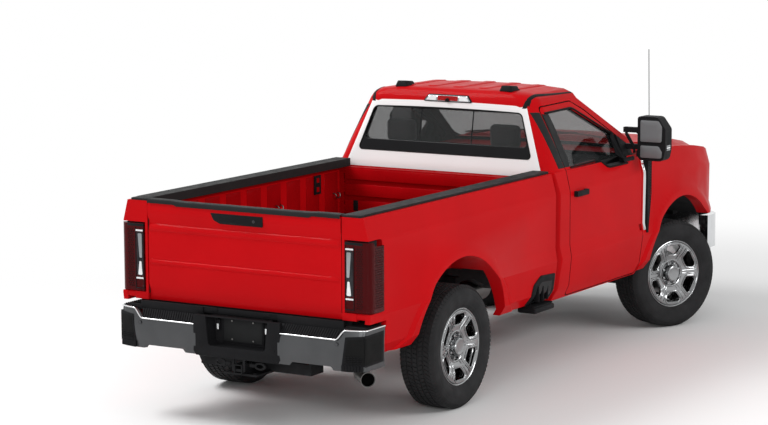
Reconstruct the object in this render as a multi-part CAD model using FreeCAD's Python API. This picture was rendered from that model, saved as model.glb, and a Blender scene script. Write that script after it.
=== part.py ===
import FreeCAD, Part
import math
import os

# A regular-cab pickup truck with a long box. +X forward, +Y to the left, +Z up, millimetres.
# The origin is on the ground, midway along and across the truck.

V = FreeCAD.Vector
out_folder = "parts"

# Driving sizes of the whole truck
wheelbase = 3597.0
front_overhang = 973.0
rear_overhang = 1318.0
overall_length = front_overhang + wheelbase + rear_overhang
front_end_x = overall_length / 2
rear_end_x = -front_end_x
rear_axle_x = rear_end_x + rear_overhang
front_axle_x = rear_axle_x + wheelbase
mirror_half = 1238.0
flare_half = 1016.0
past = 60.0
right_angle = 90.0
full_turn = 360.0

# Running gear
tyre_radius = 432.5
tyre_width = 275.0
rim_radius = 271.0
rim_width = 229.0
wheel_offset = 44.0
axle_z = tyre_radius
track_front = 1735.0
track_rear = 1707.0
kingpin_half = 765.0
steer_deg = -24.0
arch_radius = 632.0

# Body side: a section from the sill up to the belt, half widths and heights
body_half = 996.0
sill_z = 520.0
sill_tuck = 78.0
ridge_z = 622.0
ridge_tuck = 26.0
crease_z = 836.0
crease_rise = 92.0
crease_step = 16.0
shoulder_z = 1325.0
shoulder_step = 12.0
belt_z = 1478.0
belt_tuck = 52.0
sill_radius = 18.0
crease_radius = 40.0
hollow_radius = 150.0
shoulder_radius = 140.0

# Lengthwise stations
cab_to_axle = 1430.0
box_gap = 34.0
box_inner_length = 2492.0
box_wall = 62.0
tailgate_depth = 68.0
door_length = 1228.0
door_to_axle = 1620.0
shut_gap = 8.0
cab_back_x = rear_axle_x + cab_to_axle
box_front_x = cab_back_x - box_gap
box_inner_front_x = box_front_x - box_wall
box_inner_rear_x = box_inner_front_x - box_inner_length
tailgate_x = box_inner_rear_x - tailgate_depth
door_rear_x = rear_axle_x + door_to_axle
door_front_x = door_rear_x + door_length

# Box
box_sill_z = 548.0
box_floor_z = 932.0
box_floor_thickness = 30.0
box_half = 850.0
wheelhouse_half = 641.0
wheelhouse_wall = 26.0
rail_inner_half = 806.0
rail_thickness = 40.0
skin = 38.0
gate_half = 774.0
gate_gap = 6.0
gate_bottom_z = 800.0
post_depth = 74.0

# Cab
greenhouse_rear_lean = 92.0
axle_to_screen = 3110.0
screen_base_x = rear_axle_x + axle_to_screen
screen_bow = 112.0
screen_base_half = 862.0
axle_to_roof_front = 2262.0
roof_front_x = rear_axle_x + axle_to_roof_front
roof_front_half = 706.0
roof_rear_half = 736.0
roof_edge_z = 1952.0
roof_z = 2052.0
cab_corner = 130.0
upper_wall = 54.0
lower_wall = 138.0
cab_front_wall = 60.0
belt_half = body_half - belt_tuck


def lift_side(y):
    """Puts a flat point (along, up) on the plane y."""
    return lambda a, b: V(a, y, b)


def lift_cross(x):
    """Puts a flat point (across, up) on the plane x."""
    return lambda a, b: V(x, a, b)


def lift_plan(z):
    """Puts a flat point (along, across) on the plane z."""
    return lambda a, b: V(a, b, z)


def corner_arc(before, corner, after, radius):
    """Start, middle and end of the arc that rounds one corner."""
    towards_before = (before - corner).normalize()
    towards_after = (after - corner).normalize()
    half_turn = towards_before.getAngle(towards_after) / 2
    reach = radius / math.tan(half_turn)
    inward = (towards_before + towards_after).normalize()
    centre = corner + inward * (radius / math.sin(half_turn))
    return corner + towards_before * reach, centre - inward * radius, corner + towards_after * reach


def outline(corners, lift):
    """A closed wire through corners (a, b) or (a, b, radius)."""
    stops = []
    count = len(corners)
    points = [V(corner[0], corner[1], 0) for corner in corners]
    for index, corner in enumerate(corners):
        if len(corner) == 2 or corner[2] == 0:
            stops.append((points[index], None, points[index]))
        else:
            after = points[(index + 1) % count]
            stops.append(corner_arc(points[index - 1], points[index], after, corner[2]))
    edges = []
    for index, (start, middle, end) in enumerate(stops):
        if middle:
            ends = [lift(p.x, p.y) for p in (start, middle, end)]
            edges.append(Part.Arc(*ends).toShape())
        follow = stops[(index + 1) % count][0]
        edges.append(Part.LineSegment(lift(end.x, end.y), lift(follow.x, follow.y)).toShape())
    return Part.Wire(edges)


def side_prism(corners, y_from, y_to):
    """Extrudes a side-view outline (x, z) across the truck."""
    return Part.Face(outline(corners, lift_side(y_from))).extrude(V(0, y_to - y_from, 0))


def cross_prism(corners, x_from, x_to):
    """Extrudes a cross-section (y, z) along the truck."""
    return Part.Face(outline(corners, lift_cross(x_from))).extrude(V(x_to - x_from, 0, 0))


def plan_prism(corners, z_from, z_to):
    """Extrudes a plan outline (x, y) upwards."""
    return Part.Face(outline(corners, lift_plan(z_from))).extrude(V(0, 0, z_to - z_from))


def block(x_from, x_to, y_from, y_to, z_from, z_to):
    return Part.makeBox(x_to - x_from, y_to - y_from, z_to - z_from, V(x_from, y_from, z_from))


def rod(start, end, radius):
    return Part.makeCylinder(radius, (end - start).Length, start, end - start)


def across(x, z, radius, y_from, y_to):
    """A cylinder whose axis runs across the truck."""
    return Part.makeCylinder(radius, y_to - y_from, V(x, y_from, z), V(0, 1, 0))


def pipe(route, radius, bend):
    """A round pipe along straight runs joined by arcs of the bend radius."""
    edges = []
    start = route[0]
    for before, corner, after in zip(route, route[1:], route[2:]):
        arc_start, arc_middle, arc_end = corner_arc(before, corner, after, bend)
        edges.append(Part.LineSegment(start, arc_start).toShape())
        edges.append(Part.Arc(arc_start, arc_middle, arc_end).toShape())
        start = arc_end
    edges.append(Part.LineSegment(start, route[-1]).toShape())
    ring = Part.Wire([Part.Circle(route[0], route[1] - route[0], radius).toShape()])
    return Part.Wire(edges).makePipeShell([ring], True, True)


def mirrored(shape):
    return shape.mirror(V(0, 0, 0), V(0, 1, 0))


def both(shape):
    """The shape and its mirror image, as separate solids."""
    return Part.makeCompound([shape, mirrored(shape)])


def joined(*shapes):
    whole = shapes[0].multiFuse(list(shapes[1:]))
    return whole.removeSplitter()


def less(shape, *tools):
    return shape.cut(list(tools))


def spun(profile, x, y, z):
    """Revolves a closed profile of (radius, across) points about an axis across the truck."""
    face = Part.Face(outline(profile, lambda r, a: V(x + r, y + a, z)))
    return face.revolve(V(x, y, z), V(0, 1, 0), full_turn)


def section_side(low_z):
    """The outer half-section of the body side, from low_z up to the belt."""
    return [
        (body_half - sill_tuck, low_z, sill_radius),
        (body_half - ridge_tuck, ridge_z),
        (body_half, crease_z, crease_radius),
        (body_half - crease_step, crease_z + crease_rise, hollow_radius),
        (body_half - shoulder_step, shoulder_z, shoulder_radius),
        (belt_half, belt_z),
    ]


def flare(axle_x):
    """A shallow cone round a wheel arch, on the left side."""
    lip = arch_radius + flare_lip
    foot = arch_radius + flare_reach
    height = flare_half - flare_foot_half
    cone = Part.makeCone(foot, lip, height, V(axle_x, flare_foot_half, axle_z), V(0, 1, 0))
    side = [(y + flare_half - body_half, *rest) for y, *rest in section_side(box_sill_z)]
    swell = cross_prism(side + [(0, belt_z), (0, box_sill_z)], axle_x - foot, axle_x + foot)
    return cone.common(swell)


flare_lip = 26.0
flare_reach = 230.0
flare_foot_half = 912.0


# Wheels
hub_radius = 96.0
disc_radius = 176.0
disc_thickness = 34.0
disc_inset = 62.0
barrel_thickness = 13.0
flange_height = 20.0
face_depth = 34.0
window_count = 6
window_pitch_radius = 168.0
window_half_width = 46.0
window_half_height = 52.0
window_corner = 30.0
cap_radius = 62.0
cap_height = 46.0
sidewall_drop = 70.0
tread_half_share = 0.40
bead_half_share = 0.40
tyre_fit = 0.5


def tyre(x, y):
    """Tread, shoulders, sidewalls and bead seat as one revolved section."""
    half = tyre_width / 2
    tread_half = tyre_width * tread_half_share
    bead_half = tyre_width * bead_half_share
    profile = [
        (tyre_radius, -tread_half),
        (tyre_radius, tread_half),
        (tyre_radius - sidewall_drop, half),
        (rim_radius + tyre_fit, bead_half),
        (rim_radius + tyre_fit, -bead_half),
        (tyre_radius - sidewall_drop, -half),
    ]
    return spun(profile, x, y, axle_z)


def rim_window(x, y, side, angle):
    """One rounded window through the wheel's face."""
    corners = [
        (-window_half_width, -window_half_height, window_corner),
        (window_half_width, -window_half_height, window_corner),
        (window_half_width * window_flare, window_half_height, window_corner),
        (-window_half_width * window_flare, window_half_height, window_corner),
    ]
    moved = [(x + a, axle_z + window_pitch_radius + b, r) for a, b, r in corners]
    tool = side_prism(moved, y - side * rim_width, y + side * rim_width)
    tool.rotate(V(x, y, axle_z), V(0, 1, 0), angle)
    return tool


window_flare = 1.3


def wheel(x, y, side):
    """Rim, face with windows, hub with lug nuts, and the brake disc behind; side is +1 on the left."""
    half = rim_width / 2
    face_out = wheel_offset + face_depth
    barrel = spun(
        [
            (rim_radius, -half),
            (rim_radius, half),
            (rim_radius - flange_height, half),
            (rim_radius - flange_height - barrel_thickness, half - barrel_thickness),
            (rim_radius - flange_height - barrel_thickness, barrel_thickness - half),
            (rim_radius - flange_height, -half),
        ],
        x,
        y,
        axle_z,
    )
    inner = rim_radius - flange_height - barrel_thickness
    bore = across(x, axle_z, inner, y - half, y + half)
    rim = barrel.cut(bore)
    face_from = y + side * wheel_offset
    face_to = y + side * face_out
    face = across(x, axle_z, inner + barrel_thickness / 2, min(face_from, face_to), max(face_from, face_to))
    for index in range(window_count):
        face = face.cut(rim_window(x, y, side, 360 / window_count * (index + 1 / 2)))
    cap_to = face_to + side * cap_height
    cap = across(x, axle_z, cap_radius, min(face_from, cap_to), max(face_from, cap_to))
    disc_from = face_from - side * disc_inset
    disc_to = disc_from - side * disc_thickness
    disc = across(x, axle_z, disc_radius, min(disc_from, disc_to), max(disc_from, disc_to))
    hub = across(x, axle_z, hub_radius, min(disc_to, face_from), max(disc_to, face_from))
    bore_end = disc_to + side * (shaft_engage + knuckle_gap)
    bore_start = disc_to - side * past
    bore_radius = stub_radius + running_fit
    bore = across(x, axle_z, bore_radius, min(bore_start, bore_end), max(bore_start, bore_end))
    return joined(rim, face, cap, disc, hub).cut(bore)


# Steering: knuckles, steering arms and tie rod
knuckle_radius = 42.0
knuckle_height = 150.0
knuckle_gap = 6.0
spindle_radius = 48.0
kingpin_radius = 16.0
kingpin_engage = 28.0
stub_radius = 30.0
shaft_engage = 62.0
running_fit = 0.05
arm_length = 120.0
arm_height = 46.0
arm_thickness = 34.0
arm_drop = 92.0
tie_radius = 19.0
ball_radius = 27.0


def turned(shape, side):
    """Turns a front corner about its kingpin to the parked steering angle."""
    shape.rotate(V(front_axle_x, side * kingpin_half, axle_z), V(0, 0, 1), steer_deg)
    return shape


def knuckle(side):
    """Kingpin body, spindle towards the wheel and steering arm."""
    y = side * kingpin_half
    wheel_y = side * track_front / 2
    disc_back = wheel_y + side * (wheel_offset - disc_inset - disc_thickness)
    post = Part.makeCylinder(
        knuckle_radius, 2 * knuckle_height, V(front_axle_x, y, axle_z - knuckle_height)
    )
    spindle_end = disc_back - side * knuckle_gap
    spindle = across(front_axle_x, axle_z, spindle_radius, min(y, spindle_end), max(y, spindle_end))
    arm_z = axle_z - arm_drop
    arm = block(
        front_axle_x,
        front_axle_x + arm_length,
        y - arm_thickness / 2,
        y + arm_thickness / 2,
        arm_z - arm_height / 2,
        arm_z + arm_height / 2,
    )
    eye = Part.makeCylinder(
        ball_radius, arm_height, V(front_axle_x + arm_length, y, arm_z - arm_height / 2)
    )
    pin_half = knuckle_height + yoke_gap + kingpin_engage
    pin = Part.makeCylinder(kingpin_radius, 2 * pin_half, V(front_axle_x, y, axle_z - pin_half))
    shaft_end = spindle_end + side * (knuckle_gap + shaft_engage)
    shaft = across(front_axle_x, axle_z, stub_radius, min(y, shaft_end), max(y, shaft_end))
    return joined(post, spindle, arm, eye, pin, shaft)


def tie_rod():
    """The rod below the two steering arms, seen at the parked steering angle."""
    angle = math.radians(steer_deg)
    x = front_axle_x + arm_length * math.cos(angle)
    shift = arm_length * math.sin(angle)
    z = axle_z - arm_drop - arm_height / 2 - tie_drop
    left = V(x, kingpin_half + shift, z)
    right = V(x, -kingpin_half + shift, z)
    stud_height = tie_drop - tie_gap
    left_stud = Part.makeCylinder(ball_radius, stud_height, left)
    right_stud = Part.makeCylinder(ball_radius, stud_height, right)
    return joined(rod(left, right, tie_radius), left_stud, right_stud)


tie_drop = 26.0
tie_gap = 0.3


# Axles
axle_tube_radius = 45.0
diff_radius = 150.0
front_diff_y = 240.0
diff_radius_front = 138.0
yoke_inner_reach = 63.0
yoke_gap = 5.0
yoke_plate = 40.0
yoke_half = 52.0
rear_hub_radius = 92.0


def rear_axle():
    """Axle tubes, round differential housing and the flanges behind the discs."""
    disc_back = track_rear / 2 + wheel_offset - disc_inset - disc_thickness - knuckle_gap
    tube = across(rear_axle_x, axle_z, axle_tube_radius, -disc_back, disc_back)
    ball = Part.makeSphere(diff_radius, V(rear_axle_x, 0, axle_z))
    nose = rod(V(rear_axle_x, 0, axle_z), V(rear_axle_x + nose_length, 0, axle_z + nose_rise), nose_radius)
    parts = [ball, nose]
    for side in (1, -1):
        y_in = side * (disc_back - flange_thickness)
        y_out = side * disc_back
        parts.append(across(rear_axle_x, axle_z, rear_hub_radius, min(y_in, y_out), max(y_in, y_out)))
    shaft_end = disc_back + knuckle_gap + shaft_engage
    parts.append(across(rear_axle_x, axle_z, stub_radius, -shaft_end, shaft_end))
    return joined(tube, *parts)


nose_length = 260.0
nose_rise = 20.0
nose_radius = 62.0
flange_thickness = 30.0


def front_axle():
    """Axle tube with offset differential and a forked yoke round each kingpin."""
    inner = kingpin_half - yoke_inner_reach
    tube = across(front_axle_x, axle_z, axle_tube_radius, -inner, inner)
    ball = Part.makeSphere(diff_radius_front, V(front_axle_x, front_diff_y, axle_z))
    nose_end = V(front_axle_x - nose_length, front_diff_y, axle_z + nose_rise)
    nose = rod(V(front_axle_x, front_diff_y, axle_z), nose_end, nose_radius)
    parts = [ball, nose]
    for side in (1, -1):
        web_in = side * (inner - yoke_plate)
        web_out = side * inner
        low = min(web_in, web_out)
        high = max(web_in, web_out)
        top = axle_z + knuckle_height + yoke_gap
        bottom = axle_z - knuckle_height - yoke_gap
        x_from = front_axle_x - yoke_half
        x_to = front_axle_x + yoke_half
        parts.append(block(x_from, x_to, low, high, bottom - yoke_plate, top + yoke_plate))
        reach = side * (kingpin_half + yoke_half / 2)
        low = min(web_in, reach)
        high = max(web_in, reach)
        parts.append(block(x_from, x_to, low, high, top, top + yoke_plate))
        parts.append(block(x_from, x_to, low, high, bottom - yoke_plate, bottom))
    whole = joined(tube, *parts)
    bores = []
    for side in (1, -1):
        foot = V(front_axle_x, side * kingpin_half, axle_z - knuckle_height * 2)
        bores.append(Part.makeCylinder(kingpin_radius + running_fit, knuckle_height * 4, foot))
    return less(whole, *bores)


# Frame
frame_half = 430.0
rail_width = 90.0
rail_height = 150.0
frame_rear_top_z = 850.0
frame_mid_top_z = 720.0
frame_front_top_z = 800.0
frame_front_inset = 130.0
frame_rear_inset = 204.0
rear_step_lead = 300.0
rear_step_start_x = cab_back_x - rear_step_lead
rear_step_tail = 20.0
rear_step_end_x = cab_back_x + rear_step_tail
front_step_lead = 620.0
front_step_start_x = front_axle_x - front_step_lead
front_step_tail = 330.0
front_step_end_x = front_axle_x - front_step_tail
kick_radius = 160.0
cross_radius = 35.0
cross_inset = 90.0
end_cross_inset = 300.0
spare_cross_inset = 640.0
axle_cross_inset = 160.0
arch_cross_inset = 700.0
rear_cross_stations = (
    rear_end_x + end_cross_inset,
    rear_axle_x - spare_cross_inset,
    rear_axle_x - axle_cross_inset,
    rear_axle_x + arch_cross_inset,
)
cab_to_mid_cross = 256.0
mid_cross_x = cab_back_x + cab_to_mid_cross
mid_cross_lift = 24.0
front_cross_x = front_end_x - frame_front_inset - cross_inset
mount_radius = 40.0
rear_mount_inset = 200.0
front_mount_inset = 140.0
mount_stations = (cab_back_x + rear_mount_inset, door_front_x - front_mount_inset)
cab_floor_low_z = 735.0
cab_floor_z = 765.0
winch_radius = 30.0
surface_gap = 0.3
cab_to_gearbox_cross = 1026.0
gearbox_cross_x = cab_back_x + cab_to_gearbox_cross
gearbox_cross_length = 70.0
gearbox_cross_low_z = 440.0
gearbox_cross_thickness = 30.0
gearbox_cross_web = 40.0
gearbox_cross_top_z = 640.0
gearbox_pad_half = 60.0


def frame_rail_outline():
    """Side view of one rail: high over the rear axle, low under the cab, raised at the front."""
    x_rear = rear_end_x + frame_rear_inset
    x_front = front_end_x - frame_front_inset
    top = [
        (x_front, frame_front_top_z),
        (front_step_end_x, frame_front_top_z, kick_radius),
        (front_step_start_x, frame_mid_top_z, kick_radius),
        (rear_step_end_x, frame_mid_top_z, kick_radius),
        (rear_step_start_x, frame_rear_top_z, kick_radius),
        (x_rear, frame_rear_top_z),
    ]
    return top + [(corner[0], corner[1] - rail_height, *corner[2:]) for corner in reversed(top)]


def cross_tube(x, top_z):
    z = top_z - rail_height + cross_radius
    return across(x, z, cross_radius, rail_width - frame_half, frame_half - rail_width)


def frame():
    """Two side rails, round crossmembers, the dropped gearbox member, spare winch and cab mounts."""
    rail = side_prism(frame_rail_outline(), frame_half - rail_width, frame_half)
    members = [cross_tube(x, frame_rear_top_z) for x in rear_cross_stations]
    members.append(cross_tube(mid_cross_x, frame_mid_top_z + cross_radius + mid_cross_lift))
    members.append(cross_tube(front_cross_x, frame_front_top_z))
    for x in mount_stations:
        for side in (1, -1):
            centre = V(x, side * (frame_half - rail_width / 2), frame_mid_top_z)
            members.append(
                Part.makeCylinder(mount_radius, cab_floor_low_z - surface_gap - frame_mid_top_z, centre)
            )
    winch_low = spare_z + face_depth + surface_gap
    winch_high = frame_rear_top_z - rail_height + cross_radius
    members.append(Part.makeCylinder(winch_radius, winch_high - winch_low, V(spare_x, 0, winch_low)))
    return joined(rail, mirrored(rail), gearbox_member(), *members)


def gearbox_member():
    """U-shaped member that passes under the gearbox and carries its rubber pad."""
    inner = frame_half - rail_width
    low = gearbox_cross_low_z
    floor_top = low + gearbox_cross_thickness
    section = [
        (-inner, gearbox_cross_top_z),
        (-inner, low),
        (inner, low),
        (inner, gearbox_cross_top_z),
        (inner - gearbox_cross_web, gearbox_cross_top_z),
        (inner - gearbox_cross_web, floor_top),
        (gearbox_cross_web - inner, floor_top),
        (gearbox_cross_web - inner, gearbox_cross_top_z),
    ]
    x_to = gearbox_cross_x + gearbox_cross_length
    member = cross_prism(section, gearbox_cross_x, x_to)
    slope = (gearbox_radius - gearbox_tail_radius) / gearbox_length
    radius_there = gearbox_tail_radius + slope * (x_to - engine_rear_x + gearbox_length)
    pad_top = gearbox_z - radius_there - surface_gap
    pad = block(gearbox_cross_x, x_to, -gearbox_pad_half, gearbox_pad_half, floor_top, pad_top)
    return joined(member, pad)


# Box
floor_rib_count = 9
floor_rib_height = 14.0
floor_rib_width = 92.0
floor_rib_inset = 40.0
front_wall_top_z = 1434.0


def wheelhouse_cylinder(radius, y_from, y_to):
    return across(rear_axle_x, axle_z, radius, y_from, y_to)


def box_side():
    """Left side of the box: outer skin, inner wall, top rail, wheelhouse, flare and rear post."""
    floor_low = box_floor_z - box_floor_thickness
    outer = section_side(box_sill_z)
    section = outer + [
        (rail_inner_half, belt_z),
        (rail_inner_half, belt_z - rail_thickness),
        (box_half, belt_z - rail_thickness),
        (box_half, floor_low),
        (body_half - crease_step - skin, floor_low),
        (body_half - crease_step - skin, crease_z + crease_rise - skin),
        (body_half - skin, crease_z),
        (body_half - ridge_tuck - skin, ridge_z),
        (body_half - sill_tuck - skin, box_sill_z),
    ]
    side = cross_prism(section, tailgate_x, box_front_x)
    bumper_room = block(rear_end_x, rear_end_x + bumper_room_length, 0, flare_half, 0, bumper_room_top_z)
    tub_radius = arch_radius + wheelhouse_wall
    tub = wheelhouse_cylinder(tub_radius, wheelhouse_half, body_half - skin)
    tub_zone = block(
        rear_axle_x - tub_radius,
        rear_axle_x + tub_radius,
        wheelhouse_half,
        body_half - skin,
        floor_low,
        front_wall_top_z,
    )
    post = block(
        tailgate_x, tailgate_x + post_depth, gate_half + gate_gap, box_half + skin, gate_bottom_z, belt_z
    )
    hollow = wheelhouse_cylinder(arch_radius, wheelhouse_half + wheelhouse_wall, flare_half + past)
    pin_x = tailgate_x + gate_hinge_inset
    pin = across(pin_x, gate_hinge_z, gate_pin_radius, gate_half - gate_pin_engage, box_half)
    whole = joined(side, tub.common(tub_zone), post, pin, flare(rear_axle_x))
    return less(whole, hollow, tail_lamp(), bumper_room)


bumper_room_length = 300.0
bumper_room_top_z = 786.0


def box_floor():
    """Ribbed floor between the side walls, cut round the wheelhouses."""
    low = box_floor_z - box_floor_thickness
    plate = block(tailgate_x + post_depth, box_front_x, -box_half, box_half, low, box_floor_z)
    ribs = []
    pitch = 2 * wheelhouse_half / floor_rib_count
    for index in range(floor_rib_count):
        y = -wheelhouse_half + pitch * (index + 1 / 2)
        half = floor_rib_width / 2
        x_from = box_inner_rear_x + floor_rib_inset
        x_to = box_inner_front_x - floor_rib_inset
        rib = block(x_from, x_to, y - half, y + half, box_floor_z, box_floor_z + floor_rib_height)
        ribs.append(rib)
    floor = joined(plate, *ribs)
    tub_radius = arch_radius + wheelhouse_wall
    for y_from, y_to in ((wheelhouse_half, box_half + past), (-box_half - past, -wheelhouse_half)):
        floor = floor.cut(wheelhouse_cylinder(tub_radius, y_from, y_to))
    sills = []
    for x in rear_cross_stations + (rear_step_start_x - sill_width,):
        sills.append(
            block(
                x - sill_width / 2,
                x + sill_width / 2,
                -sill_half,
                sill_half,
                frame_rear_top_z + surface_gap,
                low,
            )
        )
    return joined(floor, *sills)


sill_width = 80.0
sill_half = 600.0


front_rib_depth = 16.0
front_rib_shares = ((0.10, 0.30), (0.42, 0.62), (0.74, 0.90))


def box_front_wall():
    """Front wall of the box with three swaged bands and a folded top."""
    height = front_wall_top_z - box_floor_z
    wall = block(box_inner_front_x, box_front_x, -box_half, box_half, box_floor_z, front_wall_top_z)
    bands = []
    for low, high in front_rib_shares:
        z_from = box_floor_z + height * low
        z_to = box_floor_z + height * high
        x_to = box_inner_front_x + front_rib_depth
        half = box_half - floor_rib_inset
        bands.append(block(box_inner_front_x, x_to, -half, half, z_from, z_to))
    return less(wall, *bands)


cap_thickness = 16.0
cap_lip = 26.0
cap_inner_drop = 44.0


def rail_cap():
    """Plastic cap over the left rail, with an inner drop."""
    section = [
        (belt_half - cap_lip, belt_z),
        (belt_half - cap_lip, belt_z + cap_thickness),
        (rail_inner_half - cap_thickness, belt_z + cap_thickness),
        (rail_inner_half - cap_thickness, belt_z - cap_inner_drop),
        (rail_inner_half, belt_z - cap_inner_drop),
        (rail_inner_half, belt_z),
    ]
    return cross_prism(section, tailgate_x + post_depth, box_front_x)


step_length = 180.0
step_depth = 120.0
step_drop = 60.0
step_front_inset = 60.0


def box_step():
    """Black step under the left box side, just behind the cab."""
    x_to = box_front_x - step_front_inset
    profile = [
        (x_to - step_length, box_sill_z - step_drop),
        (x_to, box_sill_z - step_drop),
        (x_to, box_sill_z),
        (x_to - step_length, box_sill_z),
    ]
    y_from = body_half - sill_tuck - skin - step_depth
    return side_prism(profile, y_from, body_half - ridge_tuck)


# Tailgate
gate_crown = 14.0
gate_hinge_inset = 34.0
gate_hinge_z = 862.0
gate_pin_radius = 10.0
gate_pin_engage = 24.0
gate_top_z = belt_z
gate_profile_shares = (
    (1.0, 1.0),
    (1.0, 0.0),
    (0.30, 0.0),
    (0.20, 0.10),
    (0.04, 0.16),
    (0.06, 0.70),
    (0.16, 0.80),
    (-0.06, 0.86),
    (-0.10, 0.93),
    (0.02, 1.0),
)


def tailgate():
    """A lengthwise profile with a protruding top band, extruded across the opening."""
    height = gate_top_z - gate_bottom_z
    corners = [(tailgate_x + a * tailgate_depth, gate_bottom_z + b * height) for a, b in gate_profile_shares]
    gate = side_prism(corners, -gate_half, gate_half)
    x = tailgate_x + gate_hinge_inset
    socket = across(
        x,
        gate_hinge_z,
        gate_pin_radius + running_fit,
        gate_half - gate_pin_engage - gate_gap,
        gate_half + past,
    )
    return less(gate, socket, mirrored(socket))


handle_left_y = 250.0
handle_right_y = -170.0
handle_cut_width = 78.0
handle_cut_height = 48.0
handle_height = 70.0
handle_depth = 12.0
handle_corner = 10.0


def tailgate_trim():
    """Black cap along the top of the tailgate and the handle plate below it."""
    x_from = tailgate_x - gate_crown / 2
    x_to = tailgate_x + tailgate_depth
    cap = block(x_from, x_to, -gate_half, gate_half, gate_top_z, gate_top_z + cap_thickness)
    face_x = tailgate_x - handle_depth
    z_to = gate_top_z - cap_inner_drop
    low = z_to - handle_height
    corners = [
        (handle_right_y, low, handle_corner),
        (handle_left_y - handle_cut_width, low),
        (handle_left_y - handle_corner, low + handle_cut_height),
        (handle_left_y, z_to),
        (handle_right_y, z_to),
    ]
    handle = cross_prism(corners, face_x, tailgate_x + past)
    return cap, handle.cut(tailgate())


lamp_height = 480.0
lamp_top_z = 1330.0
lamp_wrap = 170.0
lamp_proud = 8.0
lamp_inner_half = 800.0
lamp_depth = 60.0


def tail_lamp_prism(proud):
    """Side view of the left lamp, before it is trimmed to the corner."""
    low = lamp_top_z - lamp_height
    corners = [
        (tailgate_x - proud, low),
        (tailgate_x + lamp_wrap, low, lamp_corner),
        (tailgate_x + lamp_wrap, lamp_top_z, lamp_corner),
        (tailgate_x - proud, lamp_top_z),
    ]
    return side_prism(corners, lamp_inner_half, body_half + proud)


lamp_corner = 30.0


def tail_lamp():
    """Lamp that wraps the left rear corner, standing just proud of the skin."""
    inner = block(
        tailgate_x + lamp_depth,
        tailgate_x + lamp_wrap + past,
        0,
        body_half - lamp_depth,
        0,
        roof_z,
    )
    return tail_lamp_prism(lamp_proud).cut(inner)


# Cab
def greenhouse_ring(z, rear_x, rear_half, front_x, front_half, bow, corner):
    """A plan outline at height z: rear panel, rounded corners, sides and bowed front."""
    points = [
        V(rear_x, -rear_half + corner, z),
        V(rear_x, rear_half - corner, z),
        V(rear_x + corner, rear_half, z),
        V(front_x, front_half, z),
        V(front_x + bow, 0, z),
        V(front_x, -front_half, z),
        V(rear_x + corner, -rear_half, z),
    ]
    bulge = corner * (1 - math.sqrt(1 / 2))
    left_mid = V(rear_x + bulge, rear_half - bulge, z)
    right_mid = V(rear_x + bulge, -rear_half + bulge, z)
    edges = [
        Part.LineSegment(points[0], points[1]).toShape(),
        Part.Arc(points[1], left_mid, points[2]).toShape(),
        Part.LineSegment(points[2], points[3]).toShape(),
        Part.Arc(points[3], points[4], points[5]).toShape(),
        Part.LineSegment(points[5], points[6]).toShape(),
        Part.Arc(points[6], right_mid, points[0]).toShape(),
    ]
    return Part.Wire(edges)


crown_shares = ((0.40, 26.0), (0.74, 84.0), (0.92, 190.0), (1.0, 330.0))


def greenhouse(inset):
    """The upper cab from belt to roof; a larger inset gives the inner surface."""
    base_rear = cab_back_x + inset
    roof_rear = cab_back_x + greenhouse_rear_lean + inset
    corner = cab_corner - inset / 2
    rings = [
        greenhouse_ring(
            belt_z,
            base_rear,
            belt_half - inset,
            screen_base_x - inset,
            screen_base_half - inset,
            screen_bow,
            corner,
        ),
        greenhouse_ring(
            roof_edge_z,
            roof_rear,
            roof_rear_half - inset,
            roof_front_x - inset,
            roof_front_half - inset,
            screen_bow,
            corner,
        ),
    ]
    rise = roof_z - roof_edge_z - inset
    for share, draw in crown_shares:
        rings.append(
            greenhouse_ring(
                roof_edge_z + rise * share,
                roof_rear + draw * crown_rear_share,
                roof_rear_half - inset - draw,
                roof_front_x - inset - draw * crown_front_share,
                roof_front_half - inset - draw,
                screen_bow,
                corner,
            )
        )
    return Part.makeLoft(rings, True, True)


crown_rear_share = 0.35
crown_front_share = 0.6


def lower_cab():
    """The cab below the belt: the body-side section on both sides, rounded at the rear corners."""
    half = section_side(sill_z)
    section = half + [(-y, *rest) for y, *rest in reversed(half)]
    solid = cross_prism(section, cab_back_x, door_front_x + shut_gap)
    plan = [
        (cab_back_x, -body_half - past, cab_corner + past),
        (door_front_x + past, -body_half - past),
        (door_front_x + past, body_half + past),
        (cab_back_x, body_half + past, cab_corner + past),
    ]
    return solid.common(plan_prism(plan, 0, roof_z))


# Door
door_bottom_z = 540.0
door_top_z = 1938.0
door_hinge_inset = 32.0
door_hinge_depth = 14.0
door_hinge_half = body_half - door_hinge_depth
door_draft_share = 0.25
door_corner = 30.0
door_sail_z = 1545.0
pillar_foot_share = 0.56
pillar_foot_drop = 84.0
door_depth = 112.0
door_inner_half = body_half - door_depth
door_swing_gap = 4.0


def door_corners(gap, y):
    """Side view of the door at one depth: its rear edge moves forward further in."""
    forward = (body_half - y) * door_draft_share
    rear = door_rear_x - gap + forward
    front = door_front_x + gap
    top = door_top_z + gap
    knee_x = door_rear_x + door_length * pillar_foot_share
    return [
        (rear + sill_lean, door_bottom_z - gap, door_corner),
        (front - sill_lean, door_bottom_z - gap, door_corner),
        (front, crease_z),
        (front, door_sail_z + gap),
        (knee_x + gap, top - pillar_foot_drop, pillar_radius),
        (knee_x - pillar_run, top, pillar_radius),
        (rear - door_top_lean, top, door_corner),
        (rear, belt_z),
    ]


sill_lean = 12.0
pillar_radius = 60.0
pillar_run = 190.0
door_top_lean = 96.0


def door_prism(gap):
    """A tapered prism through the whole left door."""
    inner = roof_front_half - 2 * past
    outer = body_half + past
    wires = [outline(door_corners(gap, y), lift_side(y)) for y in (inner, outer)]
    return Part.makeLoft(wires, True, True)


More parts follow.
